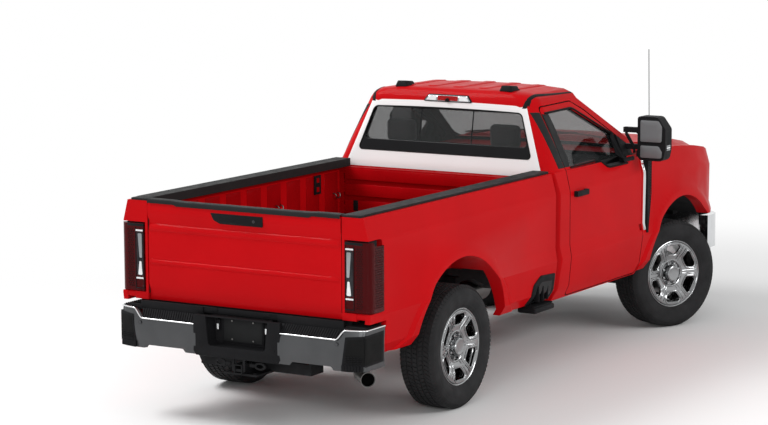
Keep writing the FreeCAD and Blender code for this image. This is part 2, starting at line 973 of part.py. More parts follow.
def door_zone(gap, inner_gap):
    """What the left door takes out of the cab: its full depth below the belt, the wall above."""
    low_inner = door_inner_half - inner_gap
    front = door_front_x + 2 * past
    lower = block(cab_back_x, front, low_inner, body_half + past, 0, belt_z)
    upper = block(cab_back_x, front, 0, body_half + past, belt_z, roof_z)
    return door_prism(gap).common(lower.fuse(upper))


window_rear_inset = 40.0
window_top_inset = 52.0
window_front_inset = 196.0
window_sill_z = 1496.0
window_drop = 62.0
window_drop_from = 0.46
window_drop_to = 0.58
window_radius = 40.0
window_pillar_inset = 66.0


def window_corners():
    """Side view of the door window, with its sill dropped towards the mirror."""
    knee_x = door_rear_x + door_length * pillar_foot_share
    top = door_top_z - window_top_inset
    front = door_front_x - window_front_inset
    return [
        (door_rear_x + window_rear_inset, window_sill_z, window_radius / 2),
        (door_rear_x + door_length * window_drop_from, window_sill_z, window_radius),
        (door_rear_x + door_length * window_drop_to, window_sill_z - window_drop, window_radius),
        (front, window_sill_z - window_drop, window_radius / 2),
        (front, door_sail_z + window_front_rise, window_radius / 2),
        (knee_x - pillar_run - window_pillar_inset / 2, top, pillar_radius),
        (door_rear_x + window_rear_inset - window_top_back, top, window_radius),
    ]


window_front_rise = 92.0
window_top_back = 40.0


def window_prism():
    return side_prism(window_corners(), roof_front_half - 2 * past, body_half + past)


def cab_cavity():
    """Room inside the cab: wide below the belt, following the greenhouse above it."""
    low = block(
        cab_back_x + upper_wall,
        door_front_x + shut_gap - cab_front_wall,
        -body_half + lower_wall,
        body_half - lower_wall,
        cab_floor_z,
        belt_z + past,
    )
    foot = block(
        door_front_x - past,
        screen_base_x - cab_front_wall,
        -footwell_half,
        footwell_half,
        cab_floor_z,
        belt_z - past,
    )
    upper = greenhouse(upper_wall)
    base = belt_half - upper_wall
    limit = block(cab_back_x, front_end_x, -base, base, belt_z - past, roof_z)
    return joined(low.common(greenhouse_shadow()), upper.common(limit), foot).cut(tunnel(tunnel_wall))


def greenhouse_shadow():
    """Plan outline of the lower cavity, rounded like the cab's rear corners."""
    half = body_half - lower_wall
    plan = [
        (cab_back_x + upper_wall, -half, cab_corner / 2),
        (front_end_x, -half),
        (front_end_x, half),
        (cab_back_x + upper_wall, half, cab_corner / 2),
    ]
    return plan_prism(plan, 0, roof_z)


footwell_half = 700.0
rear_window_half_low = 716.0
rear_window_half_high = 640.0
rear_window_low_z = 1640.0
rear_window_high_z = 1900.0
glass_thickness = 6.0
glass_inset = 8.0
screen_low_z = 1512.0
screen_high_z = 1940.0
screen_low_half = 800.0
screen_high_half = 650.0


def screen_prism():
    """Front view of the windscreen, swept through the screen surface."""
    corners = [
        (-screen_low_half, screen_low_z, window_radius),
        (screen_low_half, screen_low_z, window_radius),
        (screen_high_half, screen_high_z, pillar_radius),
        (-screen_high_half, screen_high_z, pillar_radius),
    ]
    return cross_prism(corners, roof_front_x - past, front_end_x)


def rear_window_prism():
    corners = [
        (-rear_window_half_low, rear_window_low_z, window_radius),
        (rear_window_half_low, rear_window_low_z, window_radius),
        (rear_window_half_high, rear_window_high_z, window_radius),
        (-rear_window_half_high, rear_window_high_z, window_radius),
    ]
    return cross_prism(corners, cab_back_x - past, cab_back_x + greenhouse_rear_lean + upper_wall + past)


def glass_layer():
    """A thin layer just under the greenhouse's outer surface."""
    return greenhouse(glass_inset).cut(greenhouse(glass_inset + glass_thickness))




def cab_shell(body, cavity):
    """Cab without its doors, windscreen and rear window."""
    tool = door_zone(shut_gap, shut_gap + door_swing_gap)
    channel = block(cab_back_x - past, front_end_x, -channel_half, channel_half, 0, cab_floor_low_z)
    way_in = door_way()
    notch = block(
        door_front_x,
        fender_rear_x,
        fender_top_inner - surface_gap,
        door_inner_half,
        belt_z - shut_gap,
        belt_z + shut_gap,
    )
    tools = [cavity, tool, mirrored(tool), way_in, mirrored(way_in), channel, tunnel(0.0)]
    tools += [notch, mirrored(notch)]
    shell = less(body, *tools, screen_prism(), rear_window_prism())
    return joined(shell, *door_hinge_pads())


def door_way():
    """Opening through the inner wall, inside a lip for the door seal."""
    depth = block(cab_back_x, front_end_x, footwell_half, door_inner_half, cab_floor_z, belt_z + past)
    return door_prism(-seal_lip).common(depth)


seal_lip = 46.0
channel_half = 760.0
tunnel_half = 186.0
tunnel_top_z = 802.0
tunnel_wall = 18.0
cab_to_tunnel = 860.0
tunnel_rear_x = cab_back_x + cab_to_tunnel
hinge_eye_height = 40.0
hinge_eye_radius = 5.5
hinge_eye_spacing = 76.0
hinge_low_drop = 30.0
hinge_leaf = 10.0
hinge_clearance = 5.0
hinge_skin = 1.5
hinge_pin_radius = 3.0
door_hinge_x = door_front_x - door_hinge_inset


def tunnel(wall):
    """Hump over the gearbox; with a wall it is the hump's outer form."""
    half = tunnel_half + wall
    return block(tunnel_rear_x - wall, front_end_x, -half, half, 0, tunnel_top_z + wall)


def hinge_eye_levels():
    """Lower ends of the left door's two hinge eyes."""
    low = crease_z - hinge_low_drop
    return [low, low + hinge_eye_spacing]


def upright_rod(radius, z_from, z_to):
    """A cylinder on the left door's hinge axis."""
    return Part.makeCylinder(radius, z_to - z_from, V(door_hinge_x, door_hinge_half, z_from))


def door_hinge_pads():
    """Hinge leaves on both door pillars, each with the eye that its door's pin turns in."""
    leaves = []
    for z in hinge_eye_levels():
        top = z + hinge_eye_height
        root = door_inner_half - shut_gap - door_swing_gap - hinge_leaf
        leaf = block(
            door_hinge_x - hinge_leaf / 2, door_hinge_x + hinge_leaf / 2, root, door_hinge_half, z, top
        )
        eye = upright_rod(hinge_eye_radius, z, top)
        leaf = leaf.fuse(eye).cut(upright_rod(hinge_pin_radius + running_fit, z - past, top + past))
        leaves += [leaf, mirrored(leaf)]
    return leaves


def with_hinge_pins(panel):
    """The left door with pockets for the hinge leaves, open to the front, and the pins across them."""
    for z in hinge_eye_levels():
        low = z - hinge_clearance
        top = z + hinge_eye_height + hinge_clearance
        pocket = block(
            door_hinge_x - hinge_leaf / 2 - hinge_clearance,
            door_front_x + past,
            door_inner_half - past,
            door_hinge_half + hinge_eye_radius + hinge_skin,
            low,
            top,
        )
        panel = panel.cut(pocket)
        panel = panel.fuse(upright_rod(hinge_pin_radius, low - hinge_clearance, top + hinge_clearance))
    return panel


def scuttle():
    """Bulkhead and cowl box ahead of the doors, bowed like the windscreen's foot."""
    return plan_prism(
        [
            (door_front_x, surface_gap - fender_top_inner),
            (screen_base_x, surface_gap - fender_top_inner),
            (screen_base_x + screen_bow * bow_share, -screen_base_half / 2),
            (screen_base_x + screen_bow * bow_share, screen_base_half / 2),
            (screen_base_x, fender_top_inner - surface_gap),
            (door_front_x, fender_top_inner - surface_gap),
        ],
        scuttle_low_z,
        belt_z,
    )


def cab_body():
    """Outer form of the whole cab, filled."""
    return joined(lower_cab(), greenhouse(0.0), scuttle())


bow_share = 0.7
scuttle_low_z = 806.0


def door(body, cavity):
    """The left door: cab body inside the door outline, less the cabin and the window."""
    shell = body.common(door_zone(0.0, 0.0))
    return less(shell, cavity, window_prism())


def door_glass():
    return glass_layer().common(window_prism())


# Front end: hood and fenders share these stations along the nose
axle_to_nose = 793.0
nose_x = front_axle_x + axle_to_nose
cowl_room = 14.0
hood_rear_x = screen_base_x + screen_bow + cowl_room
hood_rear_half = 866.0
hood_gap = 7.0
hood_thickness = 44.0
hood_edge_z = belt_z
hood_rise = 64.0
fender_top_inner = hood_rear_half + hood_gap
nose_shares = (0.0, 0.27, 0.60, 0.82, 0.93, 1.0)
hood_width_shares = (1.0, 0.985, 0.955, 0.92, 0.89, 0.85)
hood_edge_drop = (0.0, 10.0, 44.0, 82.0, 112.0, 168.0)
hood_rise_shares = (1.0, 1.05, 1.05, 0.95, 0.70, 0.30)
hood_across_shares = (1.0, 0.90, 0.66, 0.54, 0.0)
hood_up_shares = (0.0, 0.62, 0.56, 0.94, 1.0)
fender_width_shares = (1.0, 1.0, 0.992, 0.962, 0.925, 0.885)


def nose_station(index):
    return hood_rear_x + (nose_x - hood_rear_x) * nose_shares[index]


def polygon(points):
    return Part.makePolygon(points + [points[0]])


def hood_ring(index):
    """Cross-section of the hood at one station: ridged top and the inner panel below it."""
    x = nose_station(index)
    half = hood_rear_half * hood_width_shares[index]
    edge = hood_edge_z - hood_edge_drop[index]
    rise = hood_rise * hood_rise_shares[index]
    right = [(-half * a, edge + rise * u) for a, u in zip(hood_across_shares, hood_up_shares)]
    top = right + [(-y, z) for y, z in reversed(right[:-1])]
    points = [V(x, y, z) for y, z in top]
    points += [V(x, y, z - hood_thickness) for y, z in reversed(top)]
    return polygon(points)


hood_pin_inset = 12.0
hood_pin_rise = 16.0
hood_pin_radius = 4.5
hood_eye_radius = 9.0
hood_eye_gap = 5.0


def hood_panel():
    return Part.makeLoft([hood_ring(index) for index in range(len(nose_shares))], True, True)


def hood():
    """Hood with two slots at its rear edge and the hinge pins across them."""
    x = hood_rear_x + hood_pin_inset
    z = hood_edge_z + hood_pin_rise
    lid = hood_panel()
    y_from = hinge_bracket_half - hinge_bracket_width - hood_eye_gap
    y_to = hinge_bracket_half + hood_eye_gap
    reach = hood_eye_radius + hood_eye_gap
    slot = block(
        hood_rear_x - past,
        x + reach,
        y_from,
        y_to,
        z - hood_thickness,
        z + hood_eye_radius + hood_eye_gap / 2,
    )
    pin = across(x, z, hood_pin_radius, y_from - hood_eye_gap, y_to + hood_eye_gap)
    for tool, bolt in ((slot, pin), (mirrored(slot), mirrored(pin))):
        lid = lid.cut(tool).fuse(bolt)
    return lid


def fender_ring(x, width_share, drop, inner_half):
    """Cross-section of the left fender's skin, lowered and narrowed towards the nose."""
    height_share = (belt_z - drop - crease_z) / (belt_z - crease_z)
    outer = []
    for corner in section_side(box_sill_z):
        z = corner[1]
        if z > crease_z:
            z = crease_z + (z - crease_z) * height_share
        outer.append((corner[0] * width_share, z))
    top_z = belt_z - drop
    outer.append((inner_half, top_z))
    inner = [(inner_half, top_z - skin)]
    inner += [(y - skin, min(z, top_z - skin)) for y, z in reversed(outer[:-1])]
    return polygon([V(x, y, z) for y, z in outer + inner])


fender_rear_x = door_front_x + shut_gap
fender_front_bottom_z = 862.0
fender_nose_index = 4


def fender():
    """Left fender: lofted skin with the wheel arch, its flare and the bottom edge cut back in front."""
    rings = [fender_ring(fender_rear_x, 1.0, 0.0, fender_top_inner)]
    for index in range(fender_nose_index + 1):
        inner = hood_rear_half * hood_width_shares[index] + hood_gap
        rings.append(
            fender_ring(nose_station(index), fender_width_shares[index], hood_edge_drop[index], inner)
        )
    skin_shape = Part.makeLoft(rings, True, True)
    arch = across(front_axle_x, axle_z, arch_radius, 0, flare_half + past)
    chin = block(front_axle_x, front_end_x, 0, flare_half + past, 0, fender_front_bottom_z)
    behind = block(cab_back_x, fender_rear_x, 0, flare_half + past, 0, belt_z)
    return less(joined(skin_shape, flare(front_axle_x)), arch, chin, behind)


liner_wall = 10.0
liner_inner_half = 540.0
liner_outer_half = 962.0
liner_low_z = 640.0
apron_wall = 10.0
apron_low_z = 820.0
apron_high_z = 1390.0
apron_front_high_z = 1240.0
hinge_bracket_half = 790.0
hinge_bracket_width = 40.0
hinge_bracket_length = 60.0


def wheelhouse_liner():
    """Thin half-round liner above the left front wheel."""
    outer = across(front_axle_x, axle_z, arch_radius + liner_wall, liner_inner_half, liner_outer_half)
    inner = across(front_axle_x, axle_z, arch_radius, liner_inner_half, liner_outer_half)
    reach = arch_radius + past
    rear = block(front_axle_x - reach, front_axle_x, 0, liner_outer_half, liner_low_z, roof_z)
    front = block(front_axle_x, front_axle_x + reach, 0, liner_outer_half, fender_front_bottom_z, roof_z)
    shell = outer.cut(inner).common(rear.fuse(front))
    return less(joined(shell, apron().cut(inner), hood_bracket()), fender(), scuttle())


def apron():
    """Upright panel between the engine bay and the left wheelhouse."""
    y = liner_inner_half
    back = screen_base_x + (screen_bow * bow_share) * (1 - 2 * (y / screen_base_half - 1 / 2)) + surface_gap
    front = grille_front_x - grille_depth - surface_gap - radiator_depth - surface_gap
    corners = [
        (back, apron_low_z),
        (front, apron_low_z),
        (front, apron_front_high_z),
        (back, apron_high_z),
    ]
    low_cut = across(front_axle_x, axle_z, arch_radius, 0, flare_half)
    return side_prism(corners, y, y + apron_wall).cut(low_cut)


def hood_bracket():
    """Hinge bracket under the hood's rear corner, from the apron up to the eye of the hood's pin."""
    x = hood_rear_x + hood_pin_inset
    z = hood_edge_z + hood_pin_rise
    low = apron_high_z - hinge_bracket_width
    y_from = hinge_bracket_half - hinge_bracket_width
    x_from = x - hood_eye_radius
    arm = block(
        x_from, x_from + hinge_bracket_length, liner_inner_half, hinge_bracket_half, low, low + apron_wall
    )
    post = block(x_from, x + hood_eye_radius, y_from, hinge_bracket_half, low, z)
    eye = across(x, z, hood_eye_radius, y_from, hinge_bracket_half)
    return joined(arm, post, eye).cut(across(x, z, hood_pin_radius + running_fit, 0, belt_half))


grille_half = 610.0
grille_low_z = 880.0
grille_high_z = 1256.0
grille_depth = 60.0
grille_frame = 46.0
grille_bar = 26.0
grille_bar_count = 5
grille_slat = 10.0
grille_slat_count = 11
grille_proud = 8.0
grille_front_x = nose_x + grille_proud


def grille():
    """Frame with horizontal bars in front of thin upright slats."""
    x_from = grille_front_x - grille_depth
    frame_block = block(x_from, grille_front_x, -grille_half, grille_half, grille_low_z, grille_high_z)
    inner_half = grille_half - grille_frame
    low = grille_low_z + grille_frame
    high = grille_high_z - grille_frame
    hole = block(x_from - past, grille_front_x + past, -inner_half, inner_half, low, high)
    pieces = [frame_block.cut(hole)]
    pitch = (high - low) / (grille_bar_count + 1)
    for index in range(grille_bar_count):
        z = low + pitch * (index + 1)
        pieces.append(
            block(
                x_from + grille_slat,
                grille_front_x,
                -inner_half,
                inner_half,
                z - grille_bar / 2,
                z + grille_bar / 2,
            )
        )
    slat_pitch = 2 * inner_half / (grille_slat_count + 1)
    for index in range(grille_slat_count):
        y = -inner_half + slat_pitch * (index + 1)
        pieces.append(
            block(x_from, x_from + grille_bar, y - grille_slat / 2, y + grille_slat / 2, low, high)
        )
    return joined(*pieces)


headlamp_gap = 6.0
headlamp_low_z = 960.0
headlamp_depth = 150.0
headlamp_sweep = 110.0
headlamp_outer_half = 872.0
headlamp_radius = 30.0


def headlamp():
    """Left headlamp, swept back towards the fender."""
    y_in = grille_half + surface_gap
    front = grille_front_x - headlamp_gap
    plan = [
        (front, y_in),
        (front - headlamp_sweep, headlamp_outer_half, headlamp_radius),
        (front - headlamp_sweep - headlamp_depth, headlamp_outer_half),
        (front - headlamp_depth, y_in),
    ]
    top = grille_high_z - headlamp_gap
    body = plan_prism(plan, headlamp_low_z, top)
    return body.cut(mask_fender())


def mask_fender():
    """Room kept for the fender's front edge beside the lamp."""
    x_to = nose_station(fender_nose_index) + headlamp_gap
    return block(front_axle_x, x_to, headlamp_outer_half - fender_mask, flare_half, 0, roof_z)


fender_mask = 60.0
radiator_half = 520.0
radiator_low_z = frame_front_top_z + surface_gap
radiator_depth = 90.0
radiator_gap = grille_depth + surface_gap
support_bar = 50.0


def radiator():
    """Core with a support frame that reaches out to the lamps."""
    x_to = grille_front_x - radiator_gap
    x_from = x_to - radiator_depth
    top = grille_high_z - support_bar
    core = block(x_from, x_to, -radiator_half, radiator_half, radiator_low_z, top)
    bar = block(x_from, x_to, -grille_half, grille_half, top - support_bar, top)
    low = block(x_from, x_to, -grille_half, grille_half, radiator_low_z, radiator_low_z + support_bar)
    return joined(core, bar, low)


bumper_top_z = 832.0
bumper_low_z = 560.0
bumper_wall = 70.0
axle_to_bumper_end = 524.0
bumper_end_x = front_axle_x + axle_to_bumper_end
bumper_end_half = 984.0
bumper_corner_half = 760.0
bumper_corner_set = 60.0
bumper_side_set = 250.0
bumper_corner_radius = 160.0
dam_low_z = 430.0
dam_inset = 46.0
intake_half = 420.0
intake_height = 84.0
intake_low_z = 600.0


def bumper_plan(inset):
    """Plan outline of the wrap-around front bumper, moved in by an inset."""
    half = [
        (front_end_x - inset, 0),
        (front_end_x - inset, bumper_corner_half / 2),
        (front_end_x - bumper_corner_set - inset, bumper_corner_half),
        (front_end_x - bumper_side_set - inset / 2, bumper_end_half - inset / 2, bumper_corner_radius),
        (bumper_end_x, bumper_end_half - inset),
    ]
    mirror = [(corner[0], -corner[1], *corner[2:]) for corner in reversed(half[1:])]
    return half[1:] + mirror


def front_bumper():
    """Chrome band with a lower valance and an intake through its middle."""
    band = ring_band(0.0, bumper_low_z, bumper_top_z)
    dam = ring_band(dam_inset, dam_low_z, bumper_low_z)
    hole = block(
        front_axle_x,
        front_end_x + past,
        -intake_half,
        intake_half,
        intake_low_z,
        intake_low_z + intake_height,
    )
    stays = []
    for y in (frame_half - rail_width / 2, rail_width / 2 - frame_half):
        x_from = front_end_x - frame_front_inset
        stays.append(
            block(
                x_from,
                front_end_x - bumper_wall / 2,
                y - rail_width / 2,
                y + rail_width / 2,
                stay_low_z,
                stay_low_z + rail_width,
            )
        )
    return joined(band.cut(hole), dam, *stays)


stay_low_z = 660.0


def ring_band(inset, z_from, z_to):
    """A wall that follows the bumper's plan between two heights."""
    outer = bumper_plan(inset)
    inner = bumper_plan(inset + bumper_wall)
    solid = plan_prism(list(reversed(outer)), z_from, z_to)
    hollow_plan = [(x - 0.0, y, *rest) for x, y, *rest in reversed(inner)]
    hollow_plan[0] = (hollow_plan[0][0] - past, *hollow_plan[0][1:])
    hollow_plan[-1] = (hollow_plan[-1][0] - past, *hollow_plan[-1][1:])
    return solid.cut(plan_prism(hollow_plan, z_from - past, z_to + past))


cowl_gap = 0.3
cowl_thickness = 36.0
wiper_radius = 7.0


def cowl():
    """Black panel between the windscreen and the hood, with two parked wipers."""
    back = screen_base_x + screen_bow * bow_share + cowl_gap
    front = hood_rear_x - hood_gap
    plan = [
        (screen_base_x + cowl_gap, -screen_base_half),
        (front, -screen_base_half),
        (front, screen_base_half),
        (screen_base_x + cowl_gap, screen_base_half),
        (back, screen_base_half / 2),
        (back, -screen_base_half / 2),
    ]
    return plan_prism(plan, belt_z - cowl_thickness, belt_z).cut(scuttle())


antenna_radius = 3.0
antenna_half = 888.0
screen_to_antenna = 70.0
antenna_base_x = screen_base_x + screen_to_antenna
antenna_height = 790.0
antenna_rake = 24.0
antenna_foot = 16.0


def antenna():
    """Whip aerial on the right fender."""
    base = V(antenna_base_x, -antenna_half, belt_z + surface_gap)
    foot = Part.makeCone(antenna_foot, antenna_radius * 2, antenna_foot, base)
    tip = V(antenna_base_x - antenna_rake, -antenna_half, belt_z + antenna_height)
    return joined(foot, rod(base, tip, antenna_radius))


lamp_bar_half = 205.0
lamp_bar_height = 36.0
lamp_bar_depth = 40.0
pod_half = 500.0
pod_length = 96.0
pod_width = 110.0
pod_height = 26.0
cab_to_pod = 330.0
pod_x = cab_back_x + cab_to_pod


def roof_lamps():
    """High-mounted lamp at the rear edge of the roof and two low pods on top."""
    z = roof_edge_z + lamp_bar_height
    x = cab_back_x + greenhouse_rear_lean - lamp_bar_depth / 2
    bar = block(x, x + lamp_bar_depth * 2, -lamp_bar_half, lamp_bar_half, z - lamp_bar_height, z)
    pods = []
    for side in (1, -1):
        y = side * pod_half
        pods.append(
            block(
                pod_x,
                pod_x + pod_length,
                y - pod_width / 2,
                y + pod_width / 2,
                roof_z - pod_height,
                roof_z + pod_height,
            )
        )
    roof = greenhouse(0.0)
    return Part.makeCompound([piece.cut(roof) for piece in [bar] + pods])


vent_width = 44.0
vent_low_z = 850.0
vent_top_z = 1420.0
vent_depth = 16.0
vent_inset = 60.0
vent_x = fender_rear_x + vent_inset


def fender_vent():
    """Tapered trim strip behind the left front arch, let into the fender's skin."""
    corners = [
        (vent_x, vent_low_z),
        (vent_x + vent_width / 2, vent_low_z),
        (vent_x + vent_width + vent_width / 2, vent_top_z),
        (vent_x, vent_top_z),
    ]
    return side_prism(corners, body_half - vent_depth - crease_step, body_half + crease_step / 2)


# Underneath
screen_to_engine = 110.0
engine_rear_x = screen_base_x + screen_to_engine
engine_length = 740.0
engine_half = 300.0
engine_low_z = 640.0
engine_high_z = 1300.0
engine_chamfer = 90.0


def engine():
    """The engine as one plain block."""
    corners = [
        (-engine_half + engine_chamfer, engine_low_z),
        (engine_half - engine_chamfer, engine_low_z),
        (engine_half, engine_low_z + engine_chamfer * 2),
        (engine_half, engine_high_z - engine_chamfer),
        (engine_half - engine_chamfer, engine_high_z),
        (engine_chamfer - engine_half, engine_high_z),
        (-engine_half, engine_high_z - engine_chamfer),
        (-engine_half, engine_low_z + engine_chamfer * 2),
    ]
    body = cross_prism(corners, engine_rear_x, engine_rear_x + engine_length)
    x = engine_rear_x + engine_length / 2
    inner = frame_half - rail_width
    low = engine_low_z + engine_chamfer / 2
    mounts = block(x, x + engine_mount_length, -inner, inner, low, low + engine_mount_height)
    return joined(body, mounts)


engine_mount_length = 120.0
engine_mount_height = 60.0
gearbox_radius = 165.0
gearbox_tail_radius = 90.0
gearbox_length = 780.0
gearbox_z = 620.0
transfer_half = 130.0
transfer_length = 260.0
shaft_radius = 42.0
front_shaft_radius = 28.0


def driveline():
    """Gearbox behind the engine, transfer case, and the two drive shafts."""
    start = V(engine_rear_x - surface_gap, 0, gearbox_z)
    box_shape = Part.makeCone(gearbox_radius, gearbox_tail_radius, gearbox_length, start, V(-1, 0, 0))
    x = start.x - gearbox_length
    transfer = block(
        x - transfer_length,
        x,
        -transfer_half,
        front_diff_y + shaft_radius,
        gearbox_z - transfer_half,
        gearbox_z + transfer_half / 2,
    )
    rear_end = V(rear_end_shaft_x - shaft_radius / 2, 0, axle_z + nose_rise)
    rear_shaft = rod(V(x - transfer_length, 0, gearbox_z), rear_end, shaft_radius)
    front_end = V(front_end_shaft_x + front_shaft_radius / 2, front_diff_y, axle_z + nose_rise)
    front_shaft = rod(
        V(x - transfer_length / 2, front_diff_y, gearbox_z - transfer_half / 2),
        front_end,
        front_shaft_radius,
    )
    whole = joined(box_shape, transfer, rear_shaft, front_shaft)
    for x_from, x_to in ((rear_axle_x, rear_end_shaft_x), (front_end_shaft_x, front_axle_x)):
        whole = whole.cut(block(x_from, x_to, -frame_half, frame_half, 0, gearbox_z))
    return whole


shaft_gap = 3.6
rear_end_shaft_x = rear_axle_x + nose_length + shaft_gap
front_end_shaft_x = front_axle_x - nose_length - shaft_gap
tank_half_inner = 90.0
tank_side_gap = surface_gap
axle_to_tank = 760.0
tank_rear_x = rear_axle_x + axle_to_tank
tank_length = 1080.0
tank_low_z = 470.0
tank_high_z = 622.0
tank_corner = 50.0


def fuel_tank():
    """Long tank between the left rail and the drive shaft."""
    corners = [
        (tank_half_inner, tank_low_z, tank_corner),
        (frame_half - rail_width - tank_side_gap, tank_low_z, tank_corner),
        (frame_half - rail_width - tank_side_gap, tank_high_z),
        (tank_half_inner, tank_high_z),
    ]
    return cross_prism(corners, tank_rear_x, tank_rear_x + tank_length)


exhaust_radius = 38.0
tip_radius = 50.0
tip_length = 150.0
muffler_radius = 105.0
muffler_length = 620.0
axle_to_muffler = 960.0
muffler_x = rear_axle_x + axle_to_muffler
muffler_y = muffler_radius + surface_gap - frame_half + rail_width
muffler_z = 560.0
exhaust_bend = 110.0
tip_y = -920.0
axle_to_tip = 1138.0
tip_x = rear_axle_x - axle_to_tip
tip_z = 402.0


def exhaust():
    """Muffler inside the right rail and the tail pipe over the rear axle to the right corner."""
    muffler = rod(
        V(muffler_x, muffler_y, muffler_z),
        V(muffler_x + muffler_length, muffler_y, muffler_z),
        muffler_radius,
    )
    route = [
        V(muffler_x + muffler_length / 2, muffler_y, muffler_z),
        V(rear_axle_x + exhaust_rise_x, muffler_y, muffler_z),
        V(rear_axle_x + exhaust_over_x, exhaust_over_y, exhaust_over_z),
        V(rear_axle_x - exhaust_over_x, exhaust_over_y, exhaust_over_z),
        V(rear_axle_x - exhaust_out_x, exhaust_out_y, exhaust_over_z),
        V(rear_axle_x - exhaust_drop_x, exhaust_out_y - exhaust_radius, tip_z),
        V(tip_x + tip_length, tip_y + exhaust_side_step, tip_z),
        V(tip_x + tip_length / 2, tip_y, tip_z),
    ]
    tail = pipe(route[:-1], exhaust_radius, exhaust_bend)
    end = V(tip_x, tip_y, tip_z)
    bore_start = end
    tip = rod(route[-2], end, tip_radius)
    bore = rod(bore_start, bore_start + (route[-2] - end) * tip_bore_share, tip_radius - tip_wall)
    front = rod(
        V(muffler_x + muffler_length, muffler_y, muffler_z),
        V(muffler_x + muffler_length + front_pipe_length, muffler_y, muffler_z),
        exhaust_radius,
    )
    return joined(muffler, tail, tip, front).cut(bore)


exhaust_rise_x = 620.0
exhaust_over_x = 210.0
exhaust_over_y = -285.0
exhaust_over_z = 650.0
exhaust_out_x = 480.0
exhaust_out_y = -620.0
exhaust_drop_x = 760.0
exhaust_side_step = 150.0
tip_bore_share = 0.6
tip_wall = 4.0
front_pipe_length = 900.0

axle_to_spare = 640.0
spare_x = rear_axle_x - axle_to_spare
spare_z = 560.0
spare_width = 230.0
spare_drop = 60.0


def spare_wheel():
    """Spare tyre and rim lying flat under the box, as one piece."""
    half = spare_width / 2
    ring = [
        (rim_radius - flange_height, -half * bead_half_share * 2),
        (tyre_radius - spare_drop, -half),
        (tyre_radius - tyre_fit, -half * tread_half_share * 2),
        (tyre_radius - tyre_fit, half * tread_half_share * 2),
        (tyre_radius - spare_drop, half),
        (rim_radius - flange_height, half * bead_half_share * 2),
    ]
    wire = outline(ring, lambda r, a: V(spare_x + r, 0, spare_z + a))
    solid = Part.Face(wire).revolve(V(spare_x, 0, spare_z), V(0, 0, 1), full_turn)
    disc = Part.makeCylinder(rim_radius, face_depth, V(spare_x, 0, spare_z))
    return joined(solid, disc)


leaf_half_width = 38.0
rail_to_leaf = 60.0
leaf_y = frame_half + rail_to_leaf
leaf_half_length = 740.0
leaf_seat_z = axle_z + axle_tube_radius
leaf_thickness = 14.0
leaf_count = 4
leaf_rise = 96.0
leaf_step_share = 0.16
shackle_width = 16.0
leaf_saddle = 8.0


def leaf(index):
    """One leaf, bowed down to the axle; each lower leaf is shorter."""
    reach = leaf_half_length * (1 - leaf_step_share * index)
    rise = leaf_rise * (1 - leaf_step_share * index) ** 2
    top = leaf_seat_z + leaf_saddle + leaf_thickness * (leaf_count - index)
    x = rear_axle_x
    upper = Part.Arc(V(x - reach, leaf_y, top + rise), V(x, leaf_y, top), V(x + reach, leaf_y, top + rise))
    low = top - leaf_thickness
    lower = Part.Arc(V(x - reach, leaf_y, low + rise), V(x, leaf_y, low), V(x + reach, leaf_y, low + rise))
    ends = [
        Part.LineSegment(V(x - reach, leaf_y, low + rise), V(x - reach, leaf_y, top + rise)),
        Part.LineSegment(V(x + reach, leaf_y, low + rise), V(x + reach, leaf_y, top + rise)),
    ]
    wire = Part.Wire([upper.toShape(), ends[1].toShape(), lower.toShape(), ends[0].toShape()])
    face = Part.Face(wire)
    solid = face.extrude(V(0, 2 * leaf_half_width, 0))
    solid.translate(V(0, -leaf_half_width, 0))
    return solid


def rear_suspension():
    """Left leaf pack with its saddle, hangers to the frame and damper."""
    pack = [leaf(index) for index in range(leaf_count)]
    top = leaf_seat_z + leaf_saddle + leaf_thickness * leaf_count
    saddle = block(
        rear_axle_x - yoke_half,
        rear_axle_x + yoke_half,
        leaf_y - leaf_half_width,
        leaf_y + leaf_half_width,
        axle_z,
        top + leaf_thickness,
    )
    tube = across(
        rear_axle_x, axle_z, axle_tube_radius, leaf_y - leaf_half_width * 2, leaf_y + leaf_half_width * 2
    )
    hangers = []
    for end in (1, -1):
        x = rear_axle_x + end * leaf_half_length
        hangers.append(
            block(
                x - shackle_width * 2,
                x + shackle_width * 2,
                frame_half,
                leaf_y + leaf_half_width,
                top + leaf_rise - leaf_thickness,
                frame_rear_top_z - rail_height / 2,
            )
        )
    return joined(*pack, saddle.cut(tube), *hangers)


coil_radius = 62.0
coil_wire = 11.0
coil_turns = 6
coil_y = 540.0
coil_low_z = axle_z + axle_tube_radius
coil_high_z = 770.0
radius_arm_y = 470.0
radius_arm_length = 900.0
radius_arm_height = 64.0
radius_arm_end_z = 500.0
seat_thickness = 12.0


def coil_spring():
    """Spring wire wound between two seats, six-sided in section."""
    height = coil_high_z - coil_low_z - 2 * seat_thickness - 2 * coil_wire
    pitch = height / coil_turns
    helix = Part.makeHelix(pitch, height, coil_radius)
    section = polygon(
        [
            V(
                coil_radius + coil_wire * math.cos(math.radians(60 * corner)),
                0,
                coil_wire * math.sin(math.radians(60 * corner)),
            )
            for corner in range(6)
        ]
    )
    coil = Part.Wire(helix).makePipeShell([section], True, True)
    coil.translate(V(front_axle_x, coil_y, coil_low_z + seat_thickness + coil_wire * seat_share))
    return coil


seat_share = 0.5


